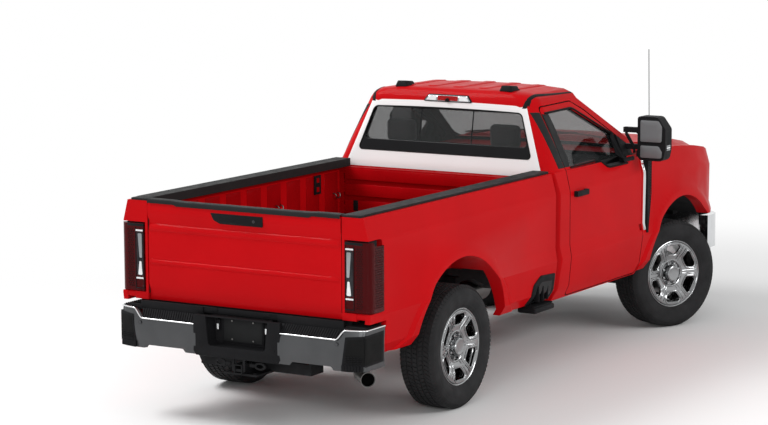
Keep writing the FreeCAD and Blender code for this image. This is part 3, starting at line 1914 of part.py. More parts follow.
def front_suspension():
    """Left coil spring on its seats, radius arm back to the frame, and damper."""
    low_seat = Part.makeCylinder(
        coil_radius + 2 * coil_wire, seat_thickness + coil_wire, V(front_axle_x, coil_y, coil_low_z)
    )
    top_z = coil_high_z - seat_thickness - coil_wire
    top_seat = Part.makeCylinder(
        coil_radius + 2 * coil_wire, seat_thickness + coil_wire, V(front_axle_x, coil_y, top_z)
    )
    tower = block(
        front_axle_x - yoke_half,
        front_axle_x + yoke_half,
        frame_half,
        coil_y + yoke_half,
        top_z + seat_thickness + coil_wire,
        top_z + seat_thickness + coil_wire + yoke_plate,
    )
    tube = across(front_axle_x, axle_z, axle_tube_radius, 0, coil_y + past)
    arm_axis = V(front_axle_x, radius_arm_y, axle_z)
    arm_end = V(front_axle_x - radius_arm_length, frame_half - rail_width / 2, radius_arm_end_z)
    arm = rod(arm_axis, arm_end, radius_arm_height / 2).cut(tube)
    pocket = block(
        arm_end.x - yoke_half,
        arm_end.x + yoke_half,
        frame_half - rail_width,
        frame_half,
        radius_arm_end_z - radius_arm_height / 2,
        frame_mid_top_z - rail_height,
    )
    return [joined(low_seat.cut(tube), coil_spring(), top_seat, tower), joined(arm, pocket)]


# Rear bumper, hitch and plate
rear_bumper_top_z = 752.0
rear_bumper_low_z = 478.0
rear_bumper_wall = 60.0
rear_bumper_half = 985.0
rear_corner_half = 800.0
rear_corner_set = 26.0
rear_side_reach = 290.0
step_top_z = 800.0
plate_half = 330.0
plate_shelf_z = 655.0
gate_to_bumper = 26.0
relief_inner_half = 440.0
relief_outer_half = 740.0
relief_height = 24.0
pad_half = 780.0
pad_depth = 48.0
pad_drop = 70.0


def rear_plan(inset):
    """Plan outline of the rear bumper."""
    left = [
        (rear_end_x + inset, rear_corner_half - inset),
        (rear_end_x + 2 * rear_corner_set + inset, rear_bumper_half - inset, rear_corner_radius),
        (rear_end_x + rear_side_reach, rear_bumper_half - inset),
    ]
    right = [(corner[0], -corner[1], *corner[2:]) for corner in reversed(left)]
    return left + right


rear_corner_radius = 60.0


def rear_bumper():
    """Painted steel band with a sloped tread, a lowered middle for the plate and a relieved lower edge."""
    solid = plan_prism(rear_plan(0.0), rear_bumper_low_z, rear_bumper_top_z)
    inner = rear_plan(rear_bumper_wall)
    inner[2] = (inner[2][0] + past, inner[2][1])
    inner[3] = (inner[3][0] + past, inner[3][1])
    hollow = plan_prism(inner, rear_bumper_low_z - past, rear_bumper_top_z + past)
    notch = block(
        rear_end_x - past, rear_end_x + rear_side_reach, -plate_half, plate_half, plate_shelf_z, roof_z
    )
    stays = []
    for side in (1, -1):
        y = side * (frame_half - rail_width / 2)
        stays.append(
            block(
                rear_end_x + rear_bumper_wall / 2,
                rear_end_x + frame_rear_inset,
                y - rail_width / 2,
                y + rail_width / 2,
                stay_low_z,
                rear_bumper_top_z - step_clearance,
            )
        )
    reliefs = []
    for side in (1, -1):
        relief_from = side * relief_inner_half
        relief_to = side * relief_outer_half
        reliefs.append(
            block(
                rear_end_x - past,
                rear_end_x + rear_bumper_wall,
                min(relief_from, relief_to),
                max(relief_from, relief_to),
                0,
                rear_bumper_low_z + relief_height,
            )
        )
    low = rear_bumper_top_z - pad_drop
    above = rear_bumper_top_z + past
    slope_corners = [
        (rear_end_x - past, low),
        (rear_end_x, low),
        (rear_end_x + pad_depth, rear_bumper_top_z),
        (rear_end_x + pad_depth, above),
        (rear_end_x - past, above),
    ]
    slope = side_prism(slope_corners, -pad_half, pad_half)
    return joined(less(solid, hollow, notch, slope, *reliefs), *stays)


step_clearance = 8.0


def bumper_steps():
    """Ribbed black treads on the bumper: one wide tread and the two corner steps."""
    front_x = tailgate_x - gate_to_bumper
    tread_plan = [
        (rear_end_x + pad_depth, -rear_corner_half + past),
        (front_x, -rear_corner_half + past),
        (front_x, rear_corner_half - past),
        (rear_end_x + pad_depth, rear_corner_half - past),
    ]
    tread = plan_prism(tread_plan, rear_bumper_top_z, step_top_z)
    notch = block(rear_end_x - past, rear_end_x + past, -plate_half, plate_half, 0, roof_z)
    side_plan = [
        (rear_end_x + rear_corner_set * 2, rear_corner_half - past),
        (front_x, rear_corner_half - past),
        (rear_end_x + rear_side_reach, body_half - skin - past),
        (rear_end_x + rear_side_reach, rear_bumper_half - rear_corner_set),
        (rear_end_x + rear_corner_set * 4, rear_bumper_half - rear_corner_set),
    ]
    side = plan_prism(side_plan, rear_bumper_top_z, rear_bumper_top_z + rear_corner_set)
    return joined(tread.cut(notch), side, mirrored(side))


receiver_outer = 64.0
receiver_bore = 51.0
receiver_z = 405.0
receiver_length = 260.0
receiver_mouth_inset = 20.0
hitch_tube = 76.0
hitch_inset = 230.0
chain_plate_half = 130.0
chain_plate_thickness = 14.0
chain_hole_radius = 17.0
chain_hole_half = 95.0
hitch_bracket = 16.0


def hitch_receiver():
    """Square receiver through a cross tube hung from the frame, with a chain plate below."""
    mouth = rear_end_x + receiver_mouth_inset
    half = receiver_outer / 2
    bore = receiver_bore / 2
    tube_x = rear_end_x + hitch_inset
    outer = block(mouth, mouth + receiver_length, -half, half, receiver_z - half, receiver_z + half)
    cross = block(
        tube_x,
        tube_x + hitch_tube,
        -frame_half - hitch_bracket,
        frame_half + hitch_bracket,
        receiver_z - hitch_tube / 2,
        receiver_z + hitch_tube / 2,
    )
    plate = block(
        mouth + half,
        tube_x + hitch_tube,
        -chain_plate_half,
        chain_plate_half,
        receiver_z - half - chain_plate_thickness,
        receiver_z - half,
    )
    holes = []
    for side in (1, -1):
        centre = V(mouth + receiver_outer, side * chain_hole_half, receiver_z - hitch_tube)
        holes.append(Part.makeCylinder(chain_hole_radius, hitch_tube, centre))
    brackets = []
    for side in (1, -1):
        y = side * (frame_half + hitch_bracket / 2)
        brackets.append(
            block(
                tube_x,
                tube_x + hitch_tube * 2,
                y - hitch_bracket / 2,
                y + hitch_bracket / 2,
                receiver_z - hitch_tube / 2,
                frame_rear_top_z - rail_width,
            )
        )
    hole = block(
        mouth - past, mouth + receiver_length + past, -bore, bore, receiver_z - bore, receiver_z + bore
    )
    return less(joined(outer, cross, plate, *brackets), hole, *holes)


# Cabin
cab_to_seat_front = 760.0
seat_front_x = cab_back_x + cab_to_seat_front
cab_to_seat_back = 150.0
seat_back_x = cab_back_x + cab_to_seat_back
seat_half = 690.0
cushion_low_z = cab_floor_z + surface_gap
cushion_top_z = 1085.0
cushion_crown = 60.0
seat_back_top_z = 1600.0
seat_back_depth = 150.0
seat_back_rake = 70.0
seat_corner = 50.0
headrest_half_width = 125.0
headrest_y = 450.0
headrest_low_z = 1615.0
headrest_top_z = 1800.0
headrest_depth = 100.0
cab_to_headrest = 120.0
headrest_x = cab_back_x + cab_to_headrest
middle_seat_half = 170.0
seat_split = 6.0


def seats():
    """Bench in three parts: cushion and back as one profile, with two head restraints."""
    cushion = [
        (seat_back_x, cushion_low_z),
        (seat_front_x - seat_corner, cushion_low_z),
        (seat_front_x, cushion_top_z - seat_back_depth, seat_corner / 2),
        (seat_front_x - seat_corner / 2, cushion_top_z, seat_corner),
        (seat_back_x + seat_back_depth + seat_back_rake, cushion_top_z - cushion_crown),
        (seat_back_x + seat_back_depth, seat_back_top_z, seat_corner),
        (seat_back_x, seat_back_top_z, seat_corner / 2),
    ]
    solids = []
    for y_from, y_to in (
        (-seat_half, -middle_seat_half - seat_split),
        (-middle_seat_half, middle_seat_half),
        (middle_seat_half + seat_split, seat_half),
    ):
        solids.append(side_prism(cushion, y_from, y_to))
    for side in (1, -1):
        y = side * headrest_y
        profile = [
            (y - headrest_half_width, headrest_low_z, seat_corner),
            (y + headrest_half_width, headrest_low_z, seat_corner),
            (y + headrest_half_width, headrest_top_z, seat_corner),
            (y - headrest_half_width, headrest_top_z, seat_corner),
        ]
        pad = cross_prism(profile, headrest_x + cowl_gap, headrest_x + headrest_depth)
        posts = []
        for shift in (-headrest_half_width / 2, headrest_half_width / 2):
            posts.append(
                Part.makeCylinder(
                    wiper_radius,
                    headrest_low_z - seat_back_top_z + seat_corner * 2,
                    V(headrest_x + headrest_depth / 2, y + shift, seat_back_top_z - seat_corner),
                )
            )
        solids.append(joined(pad, *posts))
    right_part, middle, left_part, left_rest, right_rest = solids
    return Part.makeCompound([joined(right_part, right_rest), middle, joined(left_part, left_rest)])


dash_depth = 330.0
dash_top_z = 1452.0
dash_low_z = 1010.0
dash_half = 800.0
dash_front_x = door_front_x + shut_gap - cab_front_wall - surface_gap
dash_lip = 60.0
wheel_rim_radius = 190.0
wheel_rim_tube = 16.0
cab_to_steering_wheel = 960.0
wheel_centre_x = cab_back_x + cab_to_steering_wheel
wheel_centre_z = 1330.0
wheel_y = 450.0
wheel_tilt = 62.0
wheel_hub_radius = 60.0
wheel_hub_depth = 50.0
column_radius = 34.0
spoke_width = 34.0


def steering_wheel():
    """Rim, three spokes, hub and column, left-hand drive; the wheel leans by its tilt."""
    rim = Part.makeTorus(wheel_rim_radius, wheel_rim_tube)
    hub = Part.makeCylinder(wheel_hub_radius, wheel_hub_depth, V(0, 0, -wheel_hub_depth))
    column = Part.makeCylinder(column_radius, column_length, V(0, 0, -column_length))
    shapes = [rim, hub, column]
    for angle in (0, right_angle, 2 * right_angle):
        spoke = block(0, wheel_rim_radius, -spoke_width / 2, spoke_width / 2, -wheel_rim_tube, 0)
        spoke.rotate(V(0, 0, 0), V(0, 0, 1), angle)
        shapes.append(spoke)
    whole = joined(*shapes)
    whole.rotate(V(0, 0, 0), V(0, 0, 1), -right_angle)
    whole.rotate(V(0, 0, 0), V(0, 1, 0), wheel_tilt - right_angle - wheel_back)
    whole.translate(V(wheel_centre_x, wheel_y, wheel_centre_z))
    return whole


column_length = 340.0
wheel_back = 30.0


def dashboard():
    """Dash profile across the cabin with the column and steering wheel."""
    x_from = dash_front_x - dash_depth
    corners = [
        (dash_front_x, dash_low_z),
        (dash_front_x, dash_top_z),
        (x_from + dash_lip, dash_top_z - dash_lip / 2, seat_corner / 2),
        (x_from, dash_top_z - dash_lip * 2, seat_corner / 2),
        (x_from + dash_lip, dash_low_z + dash_lip),
        (x_from + dash_lip * 3, dash_low_z),
    ]
    panel = side_prism(corners, -dash_half, dash_half)
    return joined(panel, steering_wheel())


# Mirrors and door trim
mirror_inner_half = 1002.0
mirror_low_z = 1442.0
mirror_high_z = 1784.0
mirror_front_inset = 6.0
mirror_front_x = door_front_x - mirror_front_inset
mirror_depth = 118.0
mirror_corner = 46.0
mirror_taper = 34.0
mirror_arm_height = 40.0
mirror_arm_upper_z = 1690.0
mirror_arm_lower_z = 1560.0
mirror_arm_inset = 84.0
mirror_arm_x = door_front_x - mirror_arm_inset
mirror_arm_depth = 46.0
sail_thickness = 26.0


def mirror():
    """Left towing mirror: upright head on two arms from the sail plate."""
    front_view = [
        (mirror_inner_half, mirror_low_z, mirror_corner),
        (mirror_half - mirror_taper / 2, mirror_low_z, mirror_corner),
        (mirror_half, mirror_low_z + mirror_corner * 2, mirror_corner / 2),
        (mirror_half, mirror_high_z - mirror_corner * 2, mirror_corner),
        (mirror_half - mirror_taper * 2, mirror_high_z, mirror_corner),
        (mirror_inner_half, mirror_high_z, mirror_corner / 2),
    ]
    head = cross_prism(front_view, mirror_front_x - mirror_depth, mirror_front_x)
    shapes = [head]
    for z in (mirror_arm_upper_z, mirror_arm_lower_z):
        shapes.append(
            block(
                mirror_arm_x,
                mirror_arm_x + mirror_arm_depth,
                arm_inner_half,
                mirror_inner_half + mirror_taper,
                z - mirror_arm_height,
                z,
            )
        )
    sail_corners = [
        (door_front_x - window_front_inset + sail_inset, window_sill_z - window_drop + sail_inset),
        (door_front_x - sail_inset, window_sill_z - window_drop + sail_inset),
        (door_front_x - sail_inset, door_sail_z - sail_inset),
        (door_front_x - window_front_inset + sail_inset, door_sail_z + window_front_rise),
    ]
    sail_zone = side_prism(sail_corners, roof_front_half, body_half)
    sail = greenhouse(-sail_thickness).cut(greenhouse(-surface_gap)).common(sail_zone)
    arms = less(joined(*shapes), greenhouse(-surface_gap))
    return joined(arms, sail)


sail_inset = 10.0
arm_inner_half = 860.0
pull_inset = 66.0
pull_x = door_rear_x + pull_inset
pull_length = 190.0
pull_height = 40.0
pull_z = 1318.0
pull_depth = 34.0
pull_foot = 30.0


def door_trim():
    """Pull handle of the left door."""
    grip_y = body_half + pull_depth - pull_foot / 2
    bar = block(pull_x, pull_x + pull_length, grip_y - pull_foot / 2, grip_y, pull_z - pull_height, pull_z)
    feet = []
    for x in (pull_x, pull_x + pull_length - pull_foot):
        feet.append(
            block(
                x,
                x + pull_foot,
                body_half - crease_step - pull_foot,
                grip_y,
                pull_z - pull_height,
                pull_z,
            )
        )
    return joined(bar, *feet).cut(lower_cab())


def save(name, shape):
    shape.exportStep(os.path.join(out_folder, name + ".step"))


def main():
    os.makedirs(out_folder, exist_ok=True)
    for label, axle_x, track in (("front", front_axle_x, track_front), ("rear", rear_axle_x, track_rear)):
        for hand, side in (("left", 1), ("right", -1)):
            rim = wheel(axle_x, side * track / 2, side)
            rubber = tyre(axle_x, side * track / 2)
            if label == "front":
                turned(rim, side)
                turned(rubber, side)
            save("wheel_" + label + "_" + hand, rim)
            save("tyre_" + label + "_" + hand, rubber)
    save("knuckle_left", turned(knuckle(1), 1))
    save("knuckle_right", turned(knuckle(-1), -1))
    save("tie_rod", tie_rod())
    save("front_axle", front_axle())
    save("rear_axle", rear_axle())
    save("frame", frame())
    save("box_sides", both(box_side()))
    save("box_floor", box_floor())
    save("box_front_wall", box_front_wall())
    save("rail_caps", both(rail_cap()))
    save("box_steps", both(box_step()))
    save("tailgate", tailgate())
    save("tailgate_trim", Part.makeCompound(list(tailgate_trim())))
    body = cab_body()
    cavity = cab_cavity()
    save("cab_shell", cab_shell(body, cavity))
    left_door = with_hinge_pins(door(body, cavity))
    save("door_left", left_door)
    save("door_right", mirrored(left_door))
    left_glass = door_glass()
    save("door_glass_left", left_glass)
    save("door_glass_right", mirrored(left_glass))
    layer = glass_layer()
    save("door_trim_left", door_trim())
    save("door_trim_right", mirrored(door_trim()))
    save("mirror_left", mirror())
    save("mirror_right", mirrored(mirror()))
    save("hood", hood())
    left_fender = fender()
    vent = fender_vent()
    save("fenders", both(left_fender.cut(vent)))
    save("fender_vents", both(vent))
    save("wheelhouse_liners", both(wheelhouse_liner()))
    save("grille", grille())
    save("headlamps", both(headlamp()))
    save("radiator", radiator())
    save("front_bumper", front_bumper())
    save("cowl", cowl())
    save("antenna", antenna())
    save("roof_lamps", roof_lamps())
    save("engine", engine())
    save("driveline", driveline())
    save("fuel_tank", fuel_tank())
    save("exhaust", exhaust())
    save("spare_wheel", spare_wheel())
    save("rear_suspension", both(rear_suspension()))
    halves = front_suspension()
    save("front_suspension", Part.makeCompound(halves + [mirrored(half) for half in halves]))
    save("rear_bumper", rear_bumper())
    save("bumper_steps", bumper_steps())
    save("hitch_receiver", hitch_receiver())
    save("seats", seats())
    save("dashboard", dashboard())
    save("tail_lamps", both(tail_lamp()))
    save("cab_glass", Part.makeCompound([layer.common(screen_prism()), layer.common(rear_window_prism())]))


main()
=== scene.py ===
"""Looks of a red regular-cab pickup truck, built around its CAD frame. Metres, +X forward, +Y left, +Z up."""

import math

import bmesh
import bpy
from mathutils import Matrix, Vector
from mathutils.bvhtree import BVHTree


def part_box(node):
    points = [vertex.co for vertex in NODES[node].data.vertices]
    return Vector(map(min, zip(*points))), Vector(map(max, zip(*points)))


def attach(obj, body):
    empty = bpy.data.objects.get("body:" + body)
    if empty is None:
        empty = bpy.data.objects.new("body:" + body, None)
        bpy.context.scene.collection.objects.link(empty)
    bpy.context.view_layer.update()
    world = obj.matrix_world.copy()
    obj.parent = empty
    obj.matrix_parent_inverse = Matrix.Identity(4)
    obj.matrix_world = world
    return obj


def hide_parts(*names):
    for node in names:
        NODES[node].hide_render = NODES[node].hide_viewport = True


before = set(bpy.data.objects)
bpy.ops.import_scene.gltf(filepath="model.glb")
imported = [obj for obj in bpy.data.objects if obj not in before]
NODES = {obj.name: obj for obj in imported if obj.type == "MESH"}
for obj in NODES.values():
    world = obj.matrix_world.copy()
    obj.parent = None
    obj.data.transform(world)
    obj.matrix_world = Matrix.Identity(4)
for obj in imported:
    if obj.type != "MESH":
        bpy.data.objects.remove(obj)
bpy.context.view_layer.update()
SCENE = bpy.context.scene

# The photograph's camera, fitted over 30 points: place, then yaw, pitch and roll, then its focal length
CAMERA_PLACE = (-16.46, -9.362, 3.798)
CAMERA_TURN = (31.26, -8.11, -0.26)
FOCAL_PX = 2514.0
PHOTO_WIDE_PX = 768.0
SENSOR_MM = 36.0
FARTHEST = 400.0

SKY_STRENGTH = 0.50
WHITE_RGBA = (1.0, 1.0, 1.0, 1.0)
FLOOR_HALF = 60.0
FLOOR_REACH = (4.6, 3.0)  # how far the shadowed part of the floor reaches, along and across

# Directions for laying trim: axis, and on which side of the truck it lies
ALONG, ACROSS, UP = 0, 1, 2
REAR, FRONT, TOP = (ALONG, -1), (ALONG, 1), (UP, 1)
SIDES = ((1, "left"), (-1, "right"))

# Places shared with the CAD model
REAR_AXLE_X = -1.626
FRONT_AXLE_X = 1.971
AXLE_Z = 0.4325
STEER = math.radians(-24)
KINGPIN_Y = 0.765


def aim_camera():
    """Camera at the photograph's place: a long lens, behind the right rear corner."""
    yaw, pitch, roll = (math.radians(a) for a in CAMERA_TURN)
    ahead = Vector((math.cos(yaw) * math.cos(pitch), math.sin(yaw) * math.cos(pitch), math.sin(pitch)))
    right = ahead.cross(Vector((0, 0, 1))).normalized()
    above = right.cross(ahead)
    side = right * math.cos(roll) + above * math.sin(roll)
    top = above * math.cos(roll) - right * math.sin(roll)
    turn = Matrix((side, top, -ahead)).transposed().to_4x4()
    data = bpy.data.cameras.new("camera")
    data.sensor_width = SENSOR_MM
    data.lens = SENSOR_MM * FOCAL_PX / PHOTO_WIDE_PX
    data.clip_end = FARTHEST
    camera = bpy.data.objects.new("camera", data)
    camera.matrix_world = Matrix.Translation(CAMERA_PLACE) @ turn
    SCENE.collection.objects.link(camera)
    SCENE.camera = camera


def area_light(name, place, target, size, power):
    """A soft box that faces its target."""
    data = bpy.data.lights.new(name, "AREA")
    data.shape = "RECTANGLE"
    data.size, data.size_y = size
    data.energy = power
    lamp = bpy.data.objects.new(name, data)
    lamp.location = place
    lamp.rotation_euler = (Vector(target) - Vector(place)).to_track_quat("-Z", "Y").to_euler()
    SCENE.collection.objects.link(lamp)


def build_studio():
    """White room: an even world, a soft key from the left above, two fills and a white floor."""
    SCENE.view_settings.view_transform = "Standard"
    world = bpy.data.worlds.new("studio")
    SCENE.world = world
    world.use_nodes = True
    tree = world.node_tree
    out = tree.nodes["World Output"]
    sky = tree.nodes["Background"]
    white = tree.nodes.new("ShaderNodeBackground")
    for background, strength in ((sky, SKY_STRENGTH), (white, 1.0)):
        background.inputs["Color"].default_value = WHITE_RGBA
        background.inputs["Strength"].default_value = strength
    mix = tree.nodes.new("ShaderNodeMixShader")
    tree.links.new(seen_rays(tree), mix.inputs[0])
    tree.links.new(sky.outputs[0], mix.inputs[1])
    tree.links.new(white.outputs[0], mix.inputs[2])
    tree.links.new(mix.outputs[0], out.inputs["Surface"])
    area_light("key", (-4.0, 6.0, 8.5), (0.0, 0.0, 0.6), (6.0, 4.0), 760.0)
    area_light("rear_fill", (-9.5, -4.5, 3.2), (-2.4, 0.0, 1.0), (4.0, 2.4), 175.0)
    area_light("side_strip", (0.5, -8.0, 4.6), (0.2, -0.9, 0.9), (7.0, 1.2), 230.0)
    flat_floor()


def seen_rays(tree):
    """1 for rays that see the background: from the camera, by gloss or through glass."""
    path = tree.nodes.new("ShaderNodeLightPath")
    seen = path.outputs["Is Camera Ray"]
    for kind in ("Is Glossy Ray", "Is Transmission Ray"):
        either = tree.nodes.new("ShaderNodeMath")
        either.operation = "MAXIMUM"
        tree.links.new(seen, either.inputs[0])
        tree.links.new(path.outputs[kind], either.inputs[1])
        seen = either.outputs[0]
    return seen


def flat_floor():
    """One wide square at the tyres' foot."""
    bm = bmesh.new()
    bmesh.ops.create_grid(bm, x_segments=1, y_segments=1, size=FLOOR_HALF)
    mesh = bpy.data.meshes.new("floor")
    bm.to_mesh(mesh)
    bm.free()
    floor = bpy.data.objects.new("floor", mesh)
    SCENE.collection.objects.link(floor)
    mesh.materials.append(floor_finish())
    return floor


def floor_finish():
    """White floor that keeps the truck's shadow and turns into the white background further out."""
    material = bpy.data.materials.new("studio_floor")
    material.use_nodes = True
    tree = material.node_tree
    shader = tree.nodes["Principled BSDF"]
    shader.inputs["Base Color"].default_value = (0.93, 0.93, 0.93, 1.0)
    shader.inputs["Roughness"].default_value = 0.95
    shader.inputs["Specular IOR Level"].default_value = 0.0
    place = tree.nodes.new("ShaderNodeTexCoord")
    stretch = tree.nodes.new("ShaderNodeMapping")
    stretch.inputs["Scale"].default_value = (1.0 / FLOOR_REACH[0], 1.0 / FLOOR_REACH[1], 0.0)
    reach = tree.nodes.new("ShaderNodeVectorMath")
    reach.operation = "LENGTH"
    fade = tree.nodes.new("ShaderNodeMapRange")
    fade.interpolation_type = "SMOOTHSTEP"
    fade.inputs["From Min"].default_value = 0.85
    fade.inputs["From Max"].default_value = 1.75
    tree.links.new(place.outputs["Object"], stretch.inputs["Vector"])
    tree.links.new(stretch.outputs["Vector"], reach.inputs[0])
    tree.links.new(reach.outputs["Value"], fade.inputs["Value"])
    both = tree.nodes.new("ShaderNodeMath")
    both.operation = "MULTIPLY"
    tree.links.new(seen_rays(tree), both.inputs[0])
    tree.links.new(fade.outputs["Result"], both.inputs[1])
    white = tree.nodes.new("ShaderNodeEmission")
    white.inputs["Color"].default_value = WHITE_RGBA
    white.inputs["Strength"].default_value = 1.0
    mix = tree.nodes.new("ShaderNodeMixShader")
    tree.links.new(both.outputs[0], mix.inputs[0])
    tree.links.new(shader.outputs[0], mix.inputs[1])
    tree.links.new(white.outputs[0], mix.inputs[2])
    tree.links.new(mix.outputs[0], tree.nodes["Material Output"].inputs["Surface"])
    return material


# Finishes
def node_of(tree, kind, **settings):
    """A new shader node with its settings."""
    node = tree.nodes.new("ShaderNode" + kind)
    for key, value in settings.items():
        setattr(node, key, value)
    return node


def blank_finish(name):
    """A new material, its node tree and its shader."""
    material = bpy.data.materials.new(name)
    material.use_nodes = True
    tree = material.node_tree
    return material, tree, tree.nodes["Principled BSDF"]


def set_sockets(shader, **values):
    """Plain values on the shader's own sockets; an underscore stands for a space."""
    for key, value in values.items():
        shader.inputs[key.replace("_", " ")].default_value = value


def add_bump(tree, shader, height, strength, depth):
    """Relief on a finish, from a height."""
    bump = node_of(tree, "Bump")
    bump.inputs["Strength"].default_value = strength
    bump.inputs["Distance"].default_value = depth
    tree.links.new(height, bump.inputs["Height"])
    tree.links.new(bump.outputs["Normal"], shader.inputs["Normal"])


def noise_on_object(tree, scale, detail=3.0):
    """Noise in object space."""
    place = node_of(tree, "TexCoord")
    noise = node_of(tree, "TexNoise")
    noise.inputs["Scale"].default_value = scale
    noise.inputs["Detail"].default_value = detail
    tree.links.new(place.outputs["Object"], noise.inputs["Vector"])
    return noise


def vary_colour(tree, shader, colour, scale, amount):
    """Lightens and darkens the colour softly, as dust and uneven gloss do."""
    noise = noise_on_object(tree, scale, 4.0)
    ramp = node_of(tree, "ValToRGB")
    ramp.color_ramp.elements[0].position = 0.30
    ramp.color_ramp.elements[1].position = 0.70
    ramp.color_ramp.elements[0].color = [c * (1.0 - amount) for c in colour] + [1.0]
    ramp.color_ramp.elements[1].color = [min(1.0, c * (1.0 + amount)) for c in colour] + [1.0]
    tree.links.new(noise.outputs["Fac"], ramp.inputs["Fac"])
    tree.links.new(ramp.outputs["Color"], shader.inputs["Base Color"])


def vary_roughness(tree, shader, low, high, scale):
    """Uneven gloss between two roughnesses."""
    noise = noise_on_object(tree, scale)
    span = node_of(tree, "MapRange")
    span.inputs["From Min"].default_value = 0.3
    span.inputs["From Max"].default_value = 0.7
    span.inputs["To Min"].default_value = low
    span.inputs["To Max"].default_value = high
    tree.links.new(noise.outputs["Fac"], span.inputs["Value"])
    tree.links.new(span.outputs["Result"], shader.inputs["Roughness"])


def grain_bump(tree, shader, scale, depth, detail=2.0):
    """Fine grain of moulded plastic, cast metal or lacquer."""
    noise = noise_on_object(tree, scale, detail)
    add_bump(tree, shader, noise.outputs["Fac"], 0.6, depth)


def surface(name, colour, rough, metal=0.0, grain=None, mottle=(6.0, 0.08), **sockets):
    """A finish with soft colour change, uneven roughness and a fine grain."""
    material, tree, shader = blank_finish(name)
    vary_colour(tree, shader, colour, *mottle)
    vary_roughness(tree, shader, *rough, 14.0)
    if grain:
        grain_bump(tree, shader, *grain)
    set_sockets(shader, Metallic=metal, **sockets)
    return material


def glass_finish(name, tint, clear):
    """Thin tinted glass: mostly see-through, with the gloss of its surface."""
    material, _, shader = blank_finish(name)
    set_sockets(shader, Base_Color=(*tint, 1.0), Roughness=0.0, Alpha=1.0 - clear, IOR=1.5)
    material.surface_render_method = "BLENDED"
    return material


def ribs_on_object(tree, direction, scale):
    """Height of straight ribs across one direction."""
    place = node_of(tree, "TexCoord")
    wave = node_of(tree, "TexWave", bands_direction=direction)
    wave.inputs["Scale"].default_value = scale
    tree.links.new(place.outputs["Object"], wave.inputs["Vector"])
    return wave


def lens_finish(name, tint, transmission, scale, direction):
    """Moulded lamp plastic, coloured through, with fine ridges."""
    material, tree, shader = blank_finish(name)
    set_sockets(
        shader, Base_Color=(*tint, 1.0), Roughness=0.10, Transmission_Weight=transmission, IOR=1.14,
        Coat_Weight=0.04, Coat_Roughness=0.03,
    )
    add_bump(tree, shader, ribs_on_object(tree, direction, scale).outputs["Fac"], 0.5, 0.002)
    return material


def cloth_finish(name, colour):
    """Woven seat cloth: two crossed sets of ribs, with sheen."""
    material, tree, shader = blank_finish(name)
    vary_colour(tree, shader, colour, 60.0, 0.25)
    vary_roughness(tree, shader, 0.75, 0.95, 40.0)
    set_sockets(shader, Sheen_Weight=0.4, Sheen_Roughness=0.5)
    weave = node_of(tree, "Math", operation="MULTIPLY")
    for socket, direction in zip(weave.inputs, "XZ"):
        thread = ribs_on_object(tree, direction, 180.0)
        thread.inputs["Distortion"].default_value = 0.6
        tree.links.new(thread.outputs["Fac"], socket)
    add_bump(tree, shader, weave.outputs[0], 0.7, 0.0012)
    return material


def inside_and_edge_shade_mask(tree, centre, weights, sill=None):
    """1 on faces that look inwards and, above the sill, on edge faces (the window channels, and painted shade
    in the door's shut lines); 0 on the outer skin.
    """
    place = node_of(tree, "TexCoord")
    away = node_of(tree, "VectorMath", operation="SUBTRACT")
    away.inputs[1].default_value = centre
    scaled = node_of(tree, "VectorMath", operation="MULTIPLY")
    scaled.inputs[1].default_value = weights
    facing = node_of(tree, "VectorMath", operation="DOT_PRODUCT")
    mask = node_of(tree, "Math", operation="LESS_THAN")
    mask.inputs[1].default_value = -0.02
    tree.links.new(place.outputs["Object"], away.inputs[0])
    tree.links.new(away.outputs[0], scaled.inputs[0])
    tree.links.new(scaled.outputs[0], facing.inputs[0])
    tree.links.new(place.outputs["Normal"], facing.inputs[1])
    tree.links.new(facing.outputs["Value"], mask.inputs[0])
    # Above the sill the edge faces take the lining colour too: trim in the window channels, painted shade in
    # the shut lines round the door
    if sill is not None:
        height = node_of(tree, "SeparateXYZ")
        above = node_of(tree, "Math", operation="GREATER_THAN")
        above.inputs[1].default_value = sill
        edge = node_of(tree, "Math", operation="MULTIPLY_ADD")
        edge.inputs[1].default_value = -0.40
        tree.links.new(place.outputs["Object"], height.inputs[0])
        tree.links.new(height.outputs["Z"], above.inputs[0])
        tree.links.new(above.outputs[0], edge.inputs[0])
        tree.links.new(facing.outputs["Value"], edge.inputs[2])
        tree.links.new(edge.outputs[0], mask.inputs[0])
    return mask


def lined_and_edge_shaded_paint(name, colour, lining_and_shade, centre, weights, sill=None):
    """Body paint outside and trim inside, told apart by which way a face looks; given a sill, the edge faces
    above it darken too, partly as painted shade in the shut lines.
    """
    material = car_paint(name, colour)
    tree = material.node_tree
    shader = tree.nodes["Principled BSDF"]
    paint = shader.inputs["Base Color"].links[0].from_socket
    mask = inside_and_edge_shade_mask(tree, centre, weights, sill)
    mix = node_of(tree, "Mix", data_type="RGBA")
    mix.inputs["B"].default_value = (*lining_and_shade, 1.0)
    tree.links.new(mask.outputs[0], mix.inputs["Factor"])
    tree.links.new(paint, mix.inputs["A"])
    tree.links.new(mix.outputs["Result"], shader.inputs["Base Color"])
    return material


def car_paint(name, colour, spread=0.05):
    """Solid paint under clear lacquer, with a trace of orange peel."""
    material, tree, shader = blank_finish(name)
    vary_colour(tree, shader, colour, 2.2, spread)
    vary_roughness(tree, shader, 0.30, 0.38, 9.0)
    grain_bump(tree, shader, 420.0, 0.00006, 1.0)
    set_sockets(shader, IOR=1.07, Coat_Weight=0.055, Coat_Roughness=0.035)
    return material


